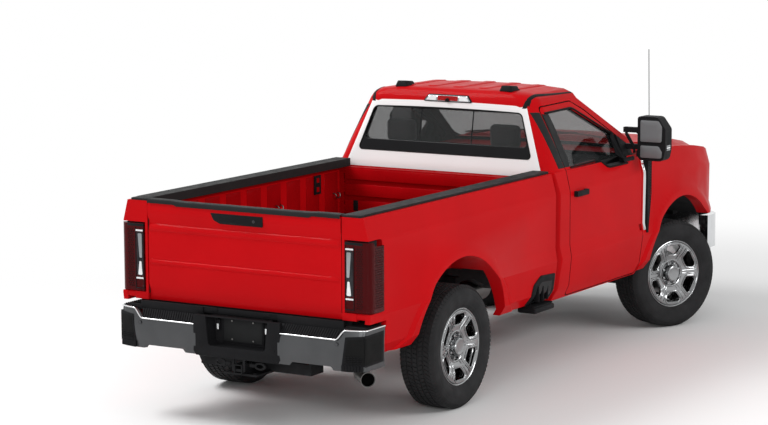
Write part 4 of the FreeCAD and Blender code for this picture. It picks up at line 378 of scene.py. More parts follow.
BODY_COLOUR = (0.50, 0.0035, 0.006)
# Dark trim colour for the cab's inside, also used as painted shade on the doors' edge faces in the shut lines
LINING_AND_GAP_SHADE_COLOUR = (0.016, 0.016, 0.017)
DOOR_SILL_Z = 1.424
RED = car_paint("red_lacquer", BODY_COLOUR)
CAB_RED = lined_and_edge_shaded_paint("red_lacquer_lined", BODY_COLOUR, LINING_AND_GAP_SHADE_COLOUR, (0.45, 0.0, 1.35), (1.0, 1.0, 1.0))
# Door paint: its edge faces above the sill are dark, trim at the window and painted shade in the shut lines
DOOR_RED = lined_and_edge_shaded_paint(
    "red_lacquer_door_edge_shaded", BODY_COLOUR, LINING_AND_GAP_SHADE_COLOUR, (0.6, 0.0, 1.2), (0.0, 1.0, 0.0), DOOR_SILL_Z)
WHITE = car_paint("white_lacquer", (0.86, 0.86, 0.86), 0.02)
BED_RED = surface("bed_enamel", (0.34, 0.002, 0.004), (0.42, 0.56), grain=(300.0, 0.0002), IOR=1.06,
    Coat_Weight=0.03)
BLACK = surface("grained_black_plastic", (0.010, 0.010, 0.011), (0.50, 0.66), grain=(900.0, 0.0003), IOR=1.16)
CAP_BLACK = surface("moulded_cap_plastic", (0.017, 0.0175, 0.018), (0.50, 0.66),
    grain=(1100.0, 0.0004), IOR=1.18)
GLOSS_BLACK = surface("gloss_black_trim", (0.006, 0.006, 0.007), (0.12, 0.20), grain=(500.0, 0.00005),
    IOR=1.2, Coat_Weight=0.06)
# Painted shade: near black, for the shaded hollow inside the tail pipe
PIPE_HOLLOW_SHADE = surface("pipe_hollow_shade", (0.002, 0.002, 0.002), (0.85, 0.95), grain=(300.0, 0.0003), IOR=1.02)
RUBBER = surface("seal_rubber", (0.008, 0.008, 0.008), (0.6, 0.75), grain=(700.0, 0.0002), IOR=1.16)
TYRE = surface("tyre_rubber", (0.021, 0.021, 0.022), (0.62, 0.80), grain=(420.0, 0.0003),
    mottle=(9.0, 0.22), IOR=1.22)
CHROME = surface("bright_chrome", (0.62, 0.63, 0.64), (0.06, 0.13), 1.0, mottle=(5.0, 0.05))
# Painted shade: chrome darkened for the wheels, standing in for the dark reflections they show, while trim
# keeps the bright CHROME
SHADED_WHEEL_CHROME = surface("shaded_wheel_chrome", (0.30, 0.305, 0.31), (0.10, 0.17), 1.0, mottle=(5.0, 0.08))
SHADE_CHROME = surface("shaded_chrome", (0.30, 0.31, 0.32), (0.14, 0.24), 1.0, mottle=(9.0, 0.15))
BUMPER_GREY = surface("bumper_grey_metal", (0.072, 0.074, 0.077), (0.30, 0.40), 0.75, grain=(500.0, 0.0001))
EDGE_SILVER = surface("bright_edge", (0.70, 0.71, 0.72), (0.16, 0.24), 1.0)
FRAME_BLACK = surface("frame_wax_black", (0.012, 0.012, 0.013), (0.50, 0.7), grain=(120.0, 0.0012),
    mottle=(11.0, 0.3), IOR=1.2)
CAST = surface("cast_grey_iron", (0.055, 0.054, 0.052), (0.55, 0.75), 0.6, grain=(260.0, 0.0012),
    mottle=(12.0, 0.25))
STEEL = surface("pipe_steel", (0.16, 0.155, 0.15), (0.28, 0.46), 1.0, grain=(180.0, 0.0004),
    mottle=(10.0, 0.2))
BRAKE = surface("brake_disc", (0.20, 0.20, 0.20), (0.25, 0.4), 1.0, grain=(90.0, 0.0003))
GLASS = glass_finish("window_glass", (0.010, 0.013, 0.013), 0.62)
MIRROR = surface("mirror_glass", (0.15, 0.155, 0.16), (0.30, 0.42), 0.0, mottle=(2.0, 0.05), IOR=1.3)
SMOKED_RED = lens_finish("smoked_red_lens", (0.060, 0.0012, 0.002), 0.0, 90.0, "Z")
BRIGHT_RED = lens_finish("stop_red_lens", (0.42, 0.006, 0.008), 0.1, 120.0, "Y")
LAMP_WHITE = surface("lamp_reflector", (0.80, 0.81, 0.82), (0.10, 0.2), 0.7, mottle=(30.0, 0.1))
CLOTH = cloth_finish("seat_cloth", (0.055, 0.055, 0.060))
CABIN = surface("cabin_grey_plastic", (0.028, 0.028, 0.030), (0.55, 0.7), grain=(1000.0, 0.0004), IOR=1.2)
GUNMETAL = surface("gunmetal_trim", (0.05, 0.05, 0.055), (0.3, 0.4), 0.8)
DARK_LENS = surface("dark_lamp_inner", (0.030, 0.030, 0.033), (0.08, 0.16), 0.9, mottle=(20.0, 0.3))
SMOKED_DOT = surface("lamp_mesh", (0.012, 0.001, 0.0012), (0.45, 0.6), 0.0, grain=(300.0, 0.0001), IOR=1.2)


# Shaping helpers
def settle(name, bm, material, body, sharp):
    """Turns a bmesh into a piece that rides on a body."""
    bmesh.ops.remove_doubles(bm, verts=bm.verts, dist=1e-6)
    bmesh.ops.recalc_face_normals(bm, faces=bm.faces)
    mesh = bpy.data.meshes.new(name)
    bm.to_mesh(mesh)
    bm.free()
    piece = bpy.data.objects.new(name, mesh)
    SCENE.collection.objects.link(piece)
    for one in material if isinstance(material, (list, tuple)) else [material]:
        mesh.materials.append(one)
    mesh.polygons.foreach_set("use_smooth", [True] * len(mesh.polygons))
    mesh.set_sharp_from_angle(angle=math.radians(sharp))
    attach(piece, body)
    return piece


def soft_edges(bm, edges, width, steps):
    """Rounds edges over and gives what the operator made."""
    return bmesh.ops.bevel(
        bm, geom=edges, offset=width, offset_type="OFFSET", segments=steps, profile=0.5, affect="EDGES",
        material=-1,
    )


def between(a, b, t):
    """The point at a share of the way from a to b."""
    return a[0] + (b[0] - a[0]) * t, a[1] + (b[1] - a[1]) * t


def ease(value, start, end):
    """0 before the start and 1 past the end, with a soft rise between them."""
    t = min(1.0, max(0.0, (value - start) / (end - start)))
    return t * t * (3 - 2 * t)


def on_side(side, outline):
    """An outline of (across, other) pairs, carried to the left or the right."""
    return [(side * across, other) for across, other in outline]


def on_axis(axis, pair, along=0.0):
    """A place from its two coordinates across an axis and its place along it."""
    place = [*pair]
    place.insert(axis, along)
    return place


def skin_rings(bm, rings, mat=0, closed=False, capped=False):
    """Faces between rings of as many points, and over both ends where the run is capped."""
    for now, then in zip(rings, rings[1:] + rings[:1] if closed else rings[1:]):
        for i in range(len(now)):
            j = (i + 1) % len(now)
            bm.faces.new((now[i], now[j], then[j], then[i])).material_index = mat
    if capped:
        bm.faces.new(rings[0]).material_index = mat
        bm.faces.new(rings[-1][::-1]).material_index = mat


def add_frame(bm, outer, inner, steps, place):
    """A frame between two loops; each step is a share of the way in and a height."""
    skin_rings(bm, [
        [bm.verts.new(place(*between(a, b, t), tall)) for a, b in zip(outer, inner)] for t, tall in steps
    ], closed=True)


def rounded_block(size, rounding, steps):
    """A block about the origin with all its edges rounded, as a bmesh of its own."""
    bm = bmesh.new()
    bmesh.ops.create_cube(bm, size=1.0)
    bmesh.ops.scale(bm, vec=size, verts=bm.verts)
    soft_edges(bm, bm.edges[:], rounding, steps)
    return bm


def add_box(bm, low, high, rounding=0.0, steps=2, mat=0):
    """A block between two corners, its edges rounded."""
    size = [b - a for a, b in zip(low, high)]
    centre = [(a + b) / 2 for a, b in zip(low, high)]
    made = bmesh.ops.create_cube(bm, size=1.0)
    verts = made["verts"]
    bmesh.ops.scale(bm, vec=size, verts=verts)
    bmesh.ops.translate(bm, vec=centre, verts=verts)
    for face in {f for v in verts for f in v.link_faces}:
        face.material_index = mat
    if rounding:
        edges = list({e for v in verts for e in v.link_edges})
        done = soft_edges(bm, edges, min(rounding, min(size) * 0.45), steps)
        for face in {f for v in done["verts"] for f in v.link_faces}:
            face.material_index = mat


def side_box(bm, side, low, high, *rest, **more):
    """A block given for the left side, carried to the left or the right."""
    y_low, y_high = sorted((side * low[1], side * high[1]))
    add_box(bm, (low[0], y_low, low[2]), (high[0], y_high, high[2]), *rest, **more)


def add_rod(bm, start, end, radius, steps=20, end_radius=None, mat=0):
    """A round bar between two points."""
    start, end = Vector(start), Vector(end)
    run = end - start
    made = bmesh.ops.create_cone(
        bm, cap_ends=True, segments=steps, radius1=radius,
        radius2=radius if end_radius is None else end_radius, depth=run.length,
    )
    turn = Vector((0, 0, 1)).rotation_difference(run.normalized()).to_matrix().to_4x4()
    bmesh.ops.transform(bm, matrix=Matrix.Translation((start + end) / 2) @ turn, verts=made["verts"])
    for face in {f for v in made["verts"] for f in v.link_faces}:
        face.material_index = mat


def add_lathe(bm, profile, steps=48, mat=0, closed=False):
    """A profile of (radius, along) pairs turned about the Y axis, outwards along +Y."""
    ring = [bm.verts.new((radius, along, 0.0)) for radius, along in profile]
    pairs = list(zip(ring, ring[1:])) + ([(ring[-1], ring[0])] if closed else [])
    edges = [bm.edges.new(pair) for pair in pairs]
    before = set(bm.faces)
    bmesh.ops.spin(
        bm, geom=ring + edges, cent=(0, 0, 0), axis=(0, 1, 0), angle=math.tau, steps=steps, use_merge=True,
    )
    for face in bm.faces:
        if face not in before:
            face.material_index = mat


def add_outline(bm, points, lift, depth, rounding=0.0, steps=2, mat=0):
    """A flat outline, placed by lift(a, b), pushed out along depth."""
    verts = [bm.verts.new(lift(a, b)) for a, b in points]
    face = bm.faces.new(verts)
    pushed = bmesh.ops.extrude_face_region(bm, geom=[face])
    moved = [g for g in pushed["geom"] if isinstance(g, bmesh.types.BMVert)]
    bmesh.ops.translate(bm, vec=depth, verts=moved)
    faces = {f for v in verts + moved for f in v.link_faces}
    for each in faces:
        each.material_index = mat
    if rounding:
        soft_edges(bm, list({e for f in faces for e in f.edges}), rounding, steps)


def rounded_outline(corners, steps=5):
    """Corner points (a, b, radius) into a list of points with round corners."""
    out = []
    count = len(corners)
    for i, corner in enumerate(corners):
        here = Vector(corner[:2])
        radius = corner[2] if len(corner) > 2 else 0.0
        if not radius:
            out.append(tuple(here))
            continue
        back = (Vector(corners[i - 1][:2]) - here).normalized()
        on = (Vector(corners[(i + 1) % count][:2]) - here).normalized()
        half = back.angle(on) / 2
        reach = radius / math.tan(half)
        centre = here + (back + on).normalized() * (radius / math.sin(half))
        first = here + back * reach - centre
        last = here + on * reach - centre
        turn = first.angle_signed(last)
        for k in range(steps + 1):
            out.append(tuple(centre + Matrix.Rotation(-turn * k / steps, 2) @ first))
    return out


def rounded_box(low, high, radius, steps):
    """Outline of a rectangle with four like round corners."""
    return rounded_outline([(*low, radius), (high[0], low[1], radius), (*high, radius),
        (low[0], high[1], radius)], steps)


def oval_loop(centre, radii, count):
    """Points round an oval."""
    turns = [math.tau * k / count for k in range(count)]
    return [(centre[0] + radii[0] * math.cos(a), centre[1] + radii[1] * math.sin(a)) for a in turns]


def rear_lift(x):
    """Places an outline's (y, z) pairs upright at a place along the truck."""
    return lambda a, b: (x, a, b)


def bent_bar(name, points, radius, material):
    """A smooth bar, hose or wire through its points."""
    curve = bpy.data.curves.new(name, "CURVE")
    curve.dimensions = "3D"
    curve.bevel_depth = radius
    curve.bevel_resolution = 4
    curve.use_fill_caps = True
    curve.resolution_u = 10
    spline = curve.splines.new("NURBS")
    spline.points.add(len(points) - 1)
    for point, place in zip(spline.points, points):
        point.co = (*place, 1.0)
    spline.order_u = 3
    spline.use_endpoint_u = True
    piece = bpy.data.objects.new(name, curve)
    SCENE.collection.objects.link(piece)
    curve.materials.append(material)
    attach(piece, "chassis")


def mirror_copy(bm):
    """Adds the right-hand copy of everything made so far."""
    geom = bm.verts[:] + bm.edges[:] + bm.faces[:]
    bmesh.ops.mirror(bm, geom=geom, matrix=Matrix.Identity(4), merge_dist=-1.0, axis="Y")


# Laying trim on the body's skin
SKINS = {}


def skin_of(node):
    """Search tree over a CAD piece's surface."""
    if node not in SKINS:
        bm = bmesh.new()
        bm.from_mesh(NODES[node].data)
        SKINS[node] = BVHTree.FromBMesh(bm)
        bm.free()
    return SKINS[node]


def surface_at(nodes, axis, sign, spot, start=6.0):
    """Outermost place of the named pieces on a line through the spot, seen along one axis."""
    if callable(nodes):
        return nodes(spot)
    origin = Vector(spot)
    origin[axis] = sign * start
    ahead = Vector((0.0, 0.0, 0.0))
    ahead[axis] = -sign
    best = None
    for node in nodes:
        hit = skin_of(node).ray_cast(origin, ahead)[0]
        if hit is not None and (best is None or sign * hit[axis] > sign * best):
            best = hit[axis]
    return best


def lay(bm, nodes, axis, sign, at=None, start=6.0):
    """Moves a flat shape onto the named pieces. Its place along the axis is its height over them."""
    missed = []
    for vert in bm.verts:
        spot = at(vert.co.copy()) if at else vert.co
        found = surface_at(nodes, axis, sign, spot, start)
        if found is None:
            missed.append(vert)
        else:
            vert.co[axis] = found + sign * vert.co[axis]
            vert.tag = True
    sure = [v for v in bm.verts if v not in missed] if missed else []
    others = [i for i in range(3) if i != axis]
    for vert in missed:
        near = min(sure, key=lambda v: sum((v.co[i] - vert.co[i]) ** 2 for i in others))
        vert.co[axis] = near.co[axis] + sign * vert.co[axis]


def slice_along(bm, axis, low, high, parts):
    """Cuts the mesh into parts of one width between two places along an axis."""
    for k in range(1, parts):
        geom = bm.verts[:] + bm.edges[:] + bm.faces[:]
        bmesh.ops.bisect_plane(
            bm, geom=geom, dist=1e-6, plane_co=on_axis(axis, (0.0, 0.0), low + (high - low) * k / parts),
            plane_no=on_axis(axis, (0.0, 0.0), 1.0))


def cut_grid(bm, axis, spacing):
    """Divides the faces so that they can follow a curved skin."""
    for across in [i for i in range(3) if i != axis]:
        places = [v.co[across] for v in bm.verts]
        low, high = min(places), max(places)
        slice_along(bm, across, low, high, int((high - low) / spacing) + 1)


def trim_plate(bm, outline, nodes, axis, sign, height, edge=0.003, grid=0.05, mat=0, at=None, start=6.0):
    """A raised plate with soft edges over an outline, laid on the pieces below it and closed underneath."""
    own = bmesh.new()
    own.faces.new([own.verts.new(on_axis(axis, pair, height)) for pair in outline])
    own.normal_update()
    for share in (0.4, 0.6):
        top = [max(own.faces, key=lambda f: f.calc_area())]
        bmesh.ops.inset_region(own, faces=top, thickness=edge * share, use_boundary=True,
            use_even_offset=True)
    ring = [v for v in own.verts if v.is_boundary]
    for vert in ring:
        vert.co[axis] = -0.0015
        for edge_of in vert.link_edges:
            far = edge_of.other_vert(vert)
            if not far.is_boundary:
                far.co[axis] = height * 0.72
    cut_grid(own, axis, grid)
    lay(own, nodes, axis, sign, at, start)
    rim = [e for e in own.edges if e.is_boundary]
    bmesh.ops.holes_fill(own, edges=rim, sides=0)
    take_in(bm, own, mat=mat)


def trim_ring(bm, outer, inner, nodes, axis, sign, height, share):
    """A raised frame between two loops of as many points, laid on the pieces below it."""
    own = bmesh.new()
    steps = ((0.0, -0.0015), (share, height), (1.0 - share, height), (1.0, -0.0015))
    add_frame(own, outer, inner, steps, lambda a, b, tall: on_axis(axis, (a, b), tall))
    lay(own, nodes, axis, sign)
    take_in(bm, own, mat=0)


def line_on(points, nodes, axis, sign, height, step=0.02):
    """Points of a line, closely spaced and laid on the pieces below it."""
    out = []
    for here, there in zip(points, points[1:]):
        count = max(1, int(math.dist(here, there) / step))
        out += [between(here, there, k / count) for k in range(count)]
    spots = [Vector(on_axis(axis, pair)) for pair in out + [points[-1]]]
    places = [surface_at(nodes, axis, sign, spot) for spot in spots]
    last = next(found for found in places if found is not None)
    placed = []
    for spot, found in zip(spots, places):
        last = last if found is None else found
        spot[axis] = last + sign * height
        placed.append(tuple(spot))
    return placed


# Wheels and tyres
REAR_HUB_Y = 0.8535
HUB_OUT = 0.1025  # from a front wheel's kingpin to its middle
AHEAD, OUT = math.sin(STEER) * HUB_OUT, math.cos(STEER) * HUB_OUT
CORNERS = {
    "rear_left": (REAR_AXLE_X, REAR_HUB_Y, 0.0),
    "rear_right": (REAR_AXLE_X, -REAR_HUB_Y, math.pi),
    "front_left": (FRONT_AXLE_X - AHEAD, KINGPIN_Y + OUT, STEER),
    "front_right": (FRONT_AXLE_X + AHEAD, -KINGPIN_Y - OUT, math.pi + STEER),
}


def corner_matrix(corner):
    """From a wheel that lies at the origin with its outside along +Y to its place on the truck."""
    x, y, turn = CORNERS[corner]
    return Matrix.Translation((x, y, AXLE_Z)) @ Matrix.Rotation(turn, 4, "Z")


def flat_plate(loops, thickness, edge, steps=3):
    """A plate in the XZ plane from closed loops (the later ones are holes), as a bmesh."""
    curve = bpy.data.curves.new("plate", "CURVE")
    curve.dimensions = "2D"
    curve.fill_mode = "BOTH"
    curve.extrude = thickness / 2 - edge
    curve.bevel_depth = edge
    curve.bevel_resolution = steps - 1
    for loop in loops:
        spline = curve.splines.new("POLY")
        spline.points.add(len(loop) - 1)
        for point, (a, b) in zip(spline.points, loop):
            point.co = (a, b, 0.0, 1.0)
        spline.use_cyclic_u = True
    holder = bpy.data.objects.new("plate", curve)
    mesh = bpy.data.meshes.new_from_object(holder)
    bm = bmesh.new()
    bm.from_mesh(mesh)
    bpy.data.objects.remove(holder)
    bpy.data.curves.remove(curve)
    bpy.data.meshes.remove(mesh)
    bmesh.ops.rotate(bm, cent=(0, 0, 0), matrix=Matrix.Rotation(math.radians(90), 3, "X"), verts=bm.verts)
    bmesh.ops.remove_doubles(bm, verts=bm.verts, dist=1e-5)
    return bm


def window_loop(angle, shrink=0.0):
    """One of the six rounded windows between the spokes."""
    corners = [
        (-0.046 + shrink, 0.150 + shrink, 0.026 - shrink),
        (0.046 - shrink, 0.150 + shrink, 0.026 - shrink),
        (0.082 - shrink * 1.3, 0.213, 0.022 - shrink),
        (0.056 - shrink, 0.2355 - shrink, 0.016),
        (-0.056 + shrink, 0.2355 - shrink, 0.016),
        (-0.082 + shrink * 1.3, 0.213, 0.022 - shrink),
    ]
    turn = Matrix.Rotation(angle, 2)
    return [tuple(turn @ Vector(p)) for p in rounded_outline(corners, 6)]


def take_in(bm, other, matrix=None, mat=None):
    """Adds another bmesh to this one."""
    if matrix is not None:
        bmesh.ops.transform(other, matrix=matrix, verts=other.verts)
    if mat is not None:
        for face in other.faces:
            face.material_index = mat
    mesh = bpy.data.meshes.new("part")
    other.to_mesh(mesh)
    other.free()
    bm.from_mesh(mesh)
    bpy.data.meshes.remove(mesh)


def dish(radius):
    """How far the wheel's face stands outwards at a radius."""
    return 0.062 + 0.034 * ease(radius, 0.112, 0.222)


SPOKES, NUTS = 6, 8


def wheel_mesh():
    """Chromed wheel: barrel, dished face with six windows, hub with eight nuts, cap, and brake disc."""
    bm = bmesh.new()
    face = flat_plate([oval_loop((0, 0), (0.2505, 0.2505), 96), oval_loop((0, 0), (0.103, 0.103), 60)] + [
        window_loop(math.tau * k / SPOKES) for k in range(SPOKES)], 0.026, 0.006)
    bmesh.ops.triangulate(face, faces=[f for f in face.faces if len(f.verts) > 4])
    long_edges = [e for e in face.edges if e.calc_length() > 0.022]
    bmesh.ops.subdivide_edges(face, edges=long_edges, cuts=2, use_grid_fill=False)
    for vert in face.verts:
        vert.co.y += dish(math.hypot(vert.co.x, vert.co.z)) + 0.004
    take_in(bm, face)
    for k in range(SPOKES):
        rim = window_loop(math.tau * k / SPOKES, -0.004)
        add_loop_tube(bm, [(a, dish(math.hypot(a, b)) + 0.017, b) for a, b in rim], 0.0052)
        for side in (-1, 1):
            spoke = []
            for step in range(7):
                r = 0.118 + 0.118 * step / 6
                spread = 0.010 + 0.008 * step / 6
                along = Matrix.Rotation(math.tau * (k + 0.5) / SPOKES, 2) @ Vector((side * spread, r))
                spoke.append((along[0], dish(r) + 0.0185, along[1]))
            add_loop_tube(bm, spoke, 0.0045, closed=False)
    add_lathe(bm, [
        (0.244, -0.102), (0.2530, -0.112), (0.2690, -0.1138), (0.2708, -0.110), (0.2690, -0.100),
        (0.2520, -0.090), (0.2500, -0.050), (0.2500, 0.060), (0.2540, 0.088), (0.2640, 0.100),
        (0.2703, 0.108), (0.2700, 0.1125), (0.2660, 0.1143), (0.2590, 0.1100), (0.2530, 0.1000),
        (0.2475, 0.0850), (0.2400, 0.0700), (0.2380, 0.0300), (0.2380, -0.060)], 96, closed=True)
    add_lathe(bm, [
        (0.116, 0.050), (0.118, 0.070), (0.113, 0.081), (0.106, 0.0835), (0.100, 0.080), (0.097, 0.066),
        (0.070, 0.064), (0.066, 0.070), (0.064, 0.104), (0.060, 0.1120), (0.052, 0.1155), (0.046, 0.1135),
        (0.030, 0.1120), (0.0, 0.1120)],
        64)
    for k in range(NUTS):
        angle = math.tau * (k + 0.5) / NUTS
        x, z = 0.0835 * math.cos(angle), 0.0835 * math.sin(angle)
        add_rod(bm, (x, 0.060, z), (x, 0.067, z), 0.0145, 20)
        add_rod(bm, (x, 0.067, z), (x, 0.088, z), 0.0115, 6)
        add_rod(bm, (x, 0.088, z), (x, 0.0935, z), 0.0098, 16, 0.0045)
        half = math.tau * k / NUTS
        spot = (0.083 * math.cos(half), 0.0665, 0.083 * math.sin(half))
        add_rod(bm, spot, (spot[0], 0.0705, spot[2]), 0.0055, 12)
    add_rod(bm, (0.0, 0.080, 0.2405), (0.0, 0.112, 0.2330), 0.0042, 12, mat=2)
    add_lathe(bm, [
        (0.030, -0.052), (0.096, -0.052), (0.100, -0.050), (0.172, -0.050), (0.174, -0.047), (0.174, -0.023),
        (0.172, -0.020), (0.100, -0.020), (0.096, 0.010), (0.080, 0.012), (0.078, 0.060), (0.030, 0.060)],
        64, mat=1, closed=True)
    return bm


def round_ring(bm, centre, side, up, radius, sides):
    """A ring of points round a line."""
    turns = [math.tau * k / sides for k in range(sides)]
    return [bm.verts.new(centre + side * radius * math.cos(a) + up * radius * math.sin(a)) for a in turns]


def add_loop_tube(bm, points, radius, closed=True):
    """A round bead along points that lie near a plane across Y."""
    count = len(points)
    rings = []
    for i, point in enumerate(points):
        ahead = Vector(points[(i + 1) % count] if closed or i + 1 < count else point)
        back = Vector(points[i - 1] if closed or i else point)
        along = (ahead - back).normalized()
        side = along.cross(Vector((0, 1, 0))).normalized()
        rings.append(round_ring(bm, Vector(point), side, side.cross(along), radius, 8))
    skin_rings(bm, rings, closed=closed, capped=not closed)


TREAD_BLOCKS = 84


def tyre_mesh():
    """Road tyre: bulged sidewalls with raised rings, and five rows of tread blocks."""
    bm = bmesh.new()
    half = [
        (0.2716, 0.098), (0.2716, 0.109), (0.278, 0.1155), (0.287, 0.1180), (0.293, 0.1235),
        (0.300, 0.1245), (0.303, 0.1262), (0.318, 0.1318), (0.340, 0.1362), (0.358, 0.1372),
        (0.3605, 0.1366), (0.3625, 0.1372), (0.378, 0.1350), (0.395, 0.1310), (0.397, 0.1290),
        (0.408, 0.1245), (0.4185, 0.1165), (0.4225, 0.1080), (0.4235, 0.0920), (0.4240, 0.0)]
    profile = half[:-1] + [(half[-1][0], 0.0)] + [(r, -y) for r, y in reversed(half[:-1])]
    add_lathe(bm, profile + [(0.2716, -0.05), (0.2716, 0.05)], 112, closed=True)
    tread = bmesh.new()
    for row, (y, wide, skew) in enumerate((
            (0.0, 0.030, 0.004), (0.042, 0.033, -0.006), (-0.042, 0.033, 0.006), (0.0885, 0.040, 0.010),
            (-0.0885, 0.040, -0.010))):
        long_half = math.tau * 0.428 / TREAD_BLOCKS * 0.5 - 0.0022
        for k in range(TREAD_BLOCKS):
            angle = math.tau * (k + (row % 2) * 0.5) / TREAD_BLOCKS
            add_tread_block(tread, y, wide / 2, long_half, skew, angle)
    take_in(bm, tread)
    shoulder = bmesh.new()
    for side in (1, -1):
        for k in range(TREAD_BLOCKS):
            add_shoulder_lug(shoulder, side, math.tau * (k + 0.25) / TREAD_BLOCKS)
    take_in(bm, shoulder)
    return bm


def add_tread_block(bm, y, half_wide, half_long, skew, angle):
    """One block of the tread, its top a little smaller than its foot."""
    made = bmesh.ops.create_cube(bm, size=2.0)["verts"]
    for vert in made:
        top = vert.co.z > 0
        a = vert.co.x * half_long * (0.90 if top else 1.0)
        b = vert.co.y * half_wide * (0.94 if top else 1.0)
        z = (0.4312 - 0.9 * (y + b) ** 2 * 0.25) if top else 0.4190
        vert.co = (a + skew * vert.co.y, y + b, z)
    bmesh.ops.rotate(bm, cent=(0, 0, 0), matrix=Matrix.Rotation(angle, 3, "Y"), verts=made)


def add_shoulder_lug(bm, side, angle):
    """A short rib that runs from the tread's edge down over the shoulder."""
    made = bmesh.ops.create_cube(bm, size=2.0)["verts"]
    for vert in made:
        a = vert.co.x * 0.0105
        outer = vert.co.y > 0
        top = vert.co.z > 0
        if top:
            r, y = (0.4285, 0.1085) if not outer else (0.4095, 0.1275)
        else:
            r, y = (0.4170, 0.1060) if not outer else (0.4060, 0.1225)
        vert.co = (a, y * side, r)
    bmesh.ops.rotate(bm, cent=(0, 0, 0), matrix=Matrix.Rotation(angle, 3, "Y"), verts=made)


def build_wheels():
    """One wheel and one tyre, placed at the four corners, and the spare."""
    wheel = wheel_mesh()
    tyre = tyre_mesh()
    for corner in CORNERS:
        place = corner_matrix(corner)
        body = "wheel_" + corner
        rim = wheel.copy()
        bmesh.ops.transform(rim, matrix=place, verts=rim.verts)
        # The wheels take the chrome that is darkened as painted shade
        piece = settle("rim_" + corner, rim, [SHADED_WHEEL_CHROME, BRAKE, RUBBER], body, sharp=38.0)
        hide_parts("wheel_" + corner)
        cover = tyre.copy()
        bmesh.ops.transform(cover, matrix=place, verts=cover.verts)
        piece = settle("tread_tyre_" + corner, cover, TYRE, body, sharp=30.0)
        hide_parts("tyre_" + corner)
        add_caliper(corner, place)
    spare_tyre(tyre)
    wheel.free()
    tyre.free()


def add_caliper(corner, place):
    """Brake caliper astride the disc, behind the axle, carried by the knuckle or the axle's end."""
    bm = bmesh.new()
    add_box(bm, (-0.215, -0.084, -0.078), (-0.120, -0.056, 0.078), 0.010, 3)
    add_box(bm, (-0.222, -0.070, -0.070), (-0.178, -0.006, 0.070), 0.012, 3)
    add_box(bm, (-0.212, -0.018, -0.060), (-0.135, -0.004, 0.060), 0.005, 2)
    for z in (-0.036, 0.036):
        add_rod(bm, (-0.158, -0.108, z), (-0.158, -0.056, z), 0.024, 24)
    bmesh.ops.transform(bm, matrix=place, verts=bm.verts)
    body = {"front_left": "knuckle_left", "front_right": "knuckle_right"}.get(corner, "chassis")
    settle("caliper_" + corner, bm, CAST, body, sharp=35.0)


def spare_tyre(tyre):
    """Spare under the box: the same tyre on a plain steel wheel, lying flat."""
    bm = tyre.copy()
    scale = 0.97
    add_lathe(bm, [
        (0.2716, -0.105), (0.2716, 0.105), (0.250, 0.100), (0.244, 0.060), (0.238, 0.020), (0.190, 0.030),
        (0.150, 0.012), (0.100, 0.012), (0.075, 0.030), (0.060, 0.030), (0.060, 0.018), (0.090, 0.0),
        (0.150, -0.002), (0.190, 0.016), (0.228, 0.006), (0.234, -0.060),
        (0.250, -0.098)], 72, mat=1, closed=True)
    low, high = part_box("spare_wheel")
    centre = (low + high) / 2
    lay = Matrix.Translation((centre.x, centre.y, low.z + 0.115)) @ Matrix.Rotation(math.radians(90), 4, "X")
    bmesh.ops.transform(bm, matrix=lay @ Matrix.Diagonal((scale, 0.83, scale, 1.0)), verts=bm.verts)
    piece = settle("spare_tyre", bm, [TYRE, FRAME_BLACK], "chassis", sharp=32.0)
    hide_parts("spare_wheel")


# Rear end: bumper, lamps, tailgate fittings and tail pipe
def grid_surface(bm, rows):
    """A sheet of quads through rows of points."""
    made = [[bm.verts.new(p) for p in row] for row in rows]
    for above, below in zip(made, made[1:]):
        for i in range(len(above) - 1):
            bm.faces.new((above[i], above[i + 1], below[i + 1], below[i]))
    return made


def slab(bm, rows, inward):
    """A sheet with thickness: the rows, the same rows moved inward, and the rim between them."""
    rims = []
    for sheet in (rows, [[tuple(Vector(p) + Vector(inward(Vector(p)))) for p in row] for row in rows]):
        made = grid_surface(bm, sheet)
        first, last = [r[0] for r in made], [r[-1] for r in made]
        rims.append(first[::-1] + made[0][1:] + last[1:] + made[-1][::-1][1:-1])
    skin_rings(bm, rims)


BUMPER_X, BUMPER_BEND_Y, BUMPER_END_Y = -2.9425, 0.78, 0.955
PAD_Z, PAD_TALL = 0.748, 0.009


def bumper_face_x(y):
    """Rear face of the bumper: straight, then swept forwards round the corner."""
    return BUMPER_X + 0.050 * (max(0.0, abs(y) - BUMPER_BEND_Y) / 0.203) ** 1.7


def bumper_edges(y):
    """Lower and upper edge of the metal panel at a place across the truck."""
    reach = abs(y)
    top = 0.680 + 0.066 * ease(reach, 0.775, 0.850)
    low = 0.4795 + 0.023 * (ease(reach, 0.418, 0.442) - ease(reach, 0.738, 0.762))
    return low, top


def panel_rows(side, stations, steps=9):
    """Rows of points over one metal panel, its profile a little rounded."""
    rows = []
    for share in (k / steps for k in range(steps + 1)):
        bulge = 0.010 * (2 * share - 1) ** 2 + (0.0048 if share > 0.97 else 0.0)
        row = []
        for y, x in stations:
            low, top = bumper_edges(y)
            row.append((x + bulge, side * y, low + (top - low) * share))
        rows.append(row)
    return rows


def corner_stations():
    """Places (y, x) along one panel: the swept rear face, the rounded corner and the flank."""
    stations = []
    y = 0.331
    for step in range(46):
        stations.append((y, bumper_face_x(y)))
        y += 0.0099
    while y < BUMPER_END_Y:
        stations.append((y, bumper_face_x(y)))
        y += 0.0125
    x = bumper_face_x(BUMPER_END_Y) + 0.004
    for k in range(7):
        angle = math.radians(90 * k / 6)
        stations.append((BUMPER_END_Y + 0.027 * math.sin(angle), x + 0.027 * (1 - math.cos(angle))))
    x = stations[-1][1]
    return stations + [(0.982, x + (-2.658 - x) * step / 14) for step in range(1, 15)]


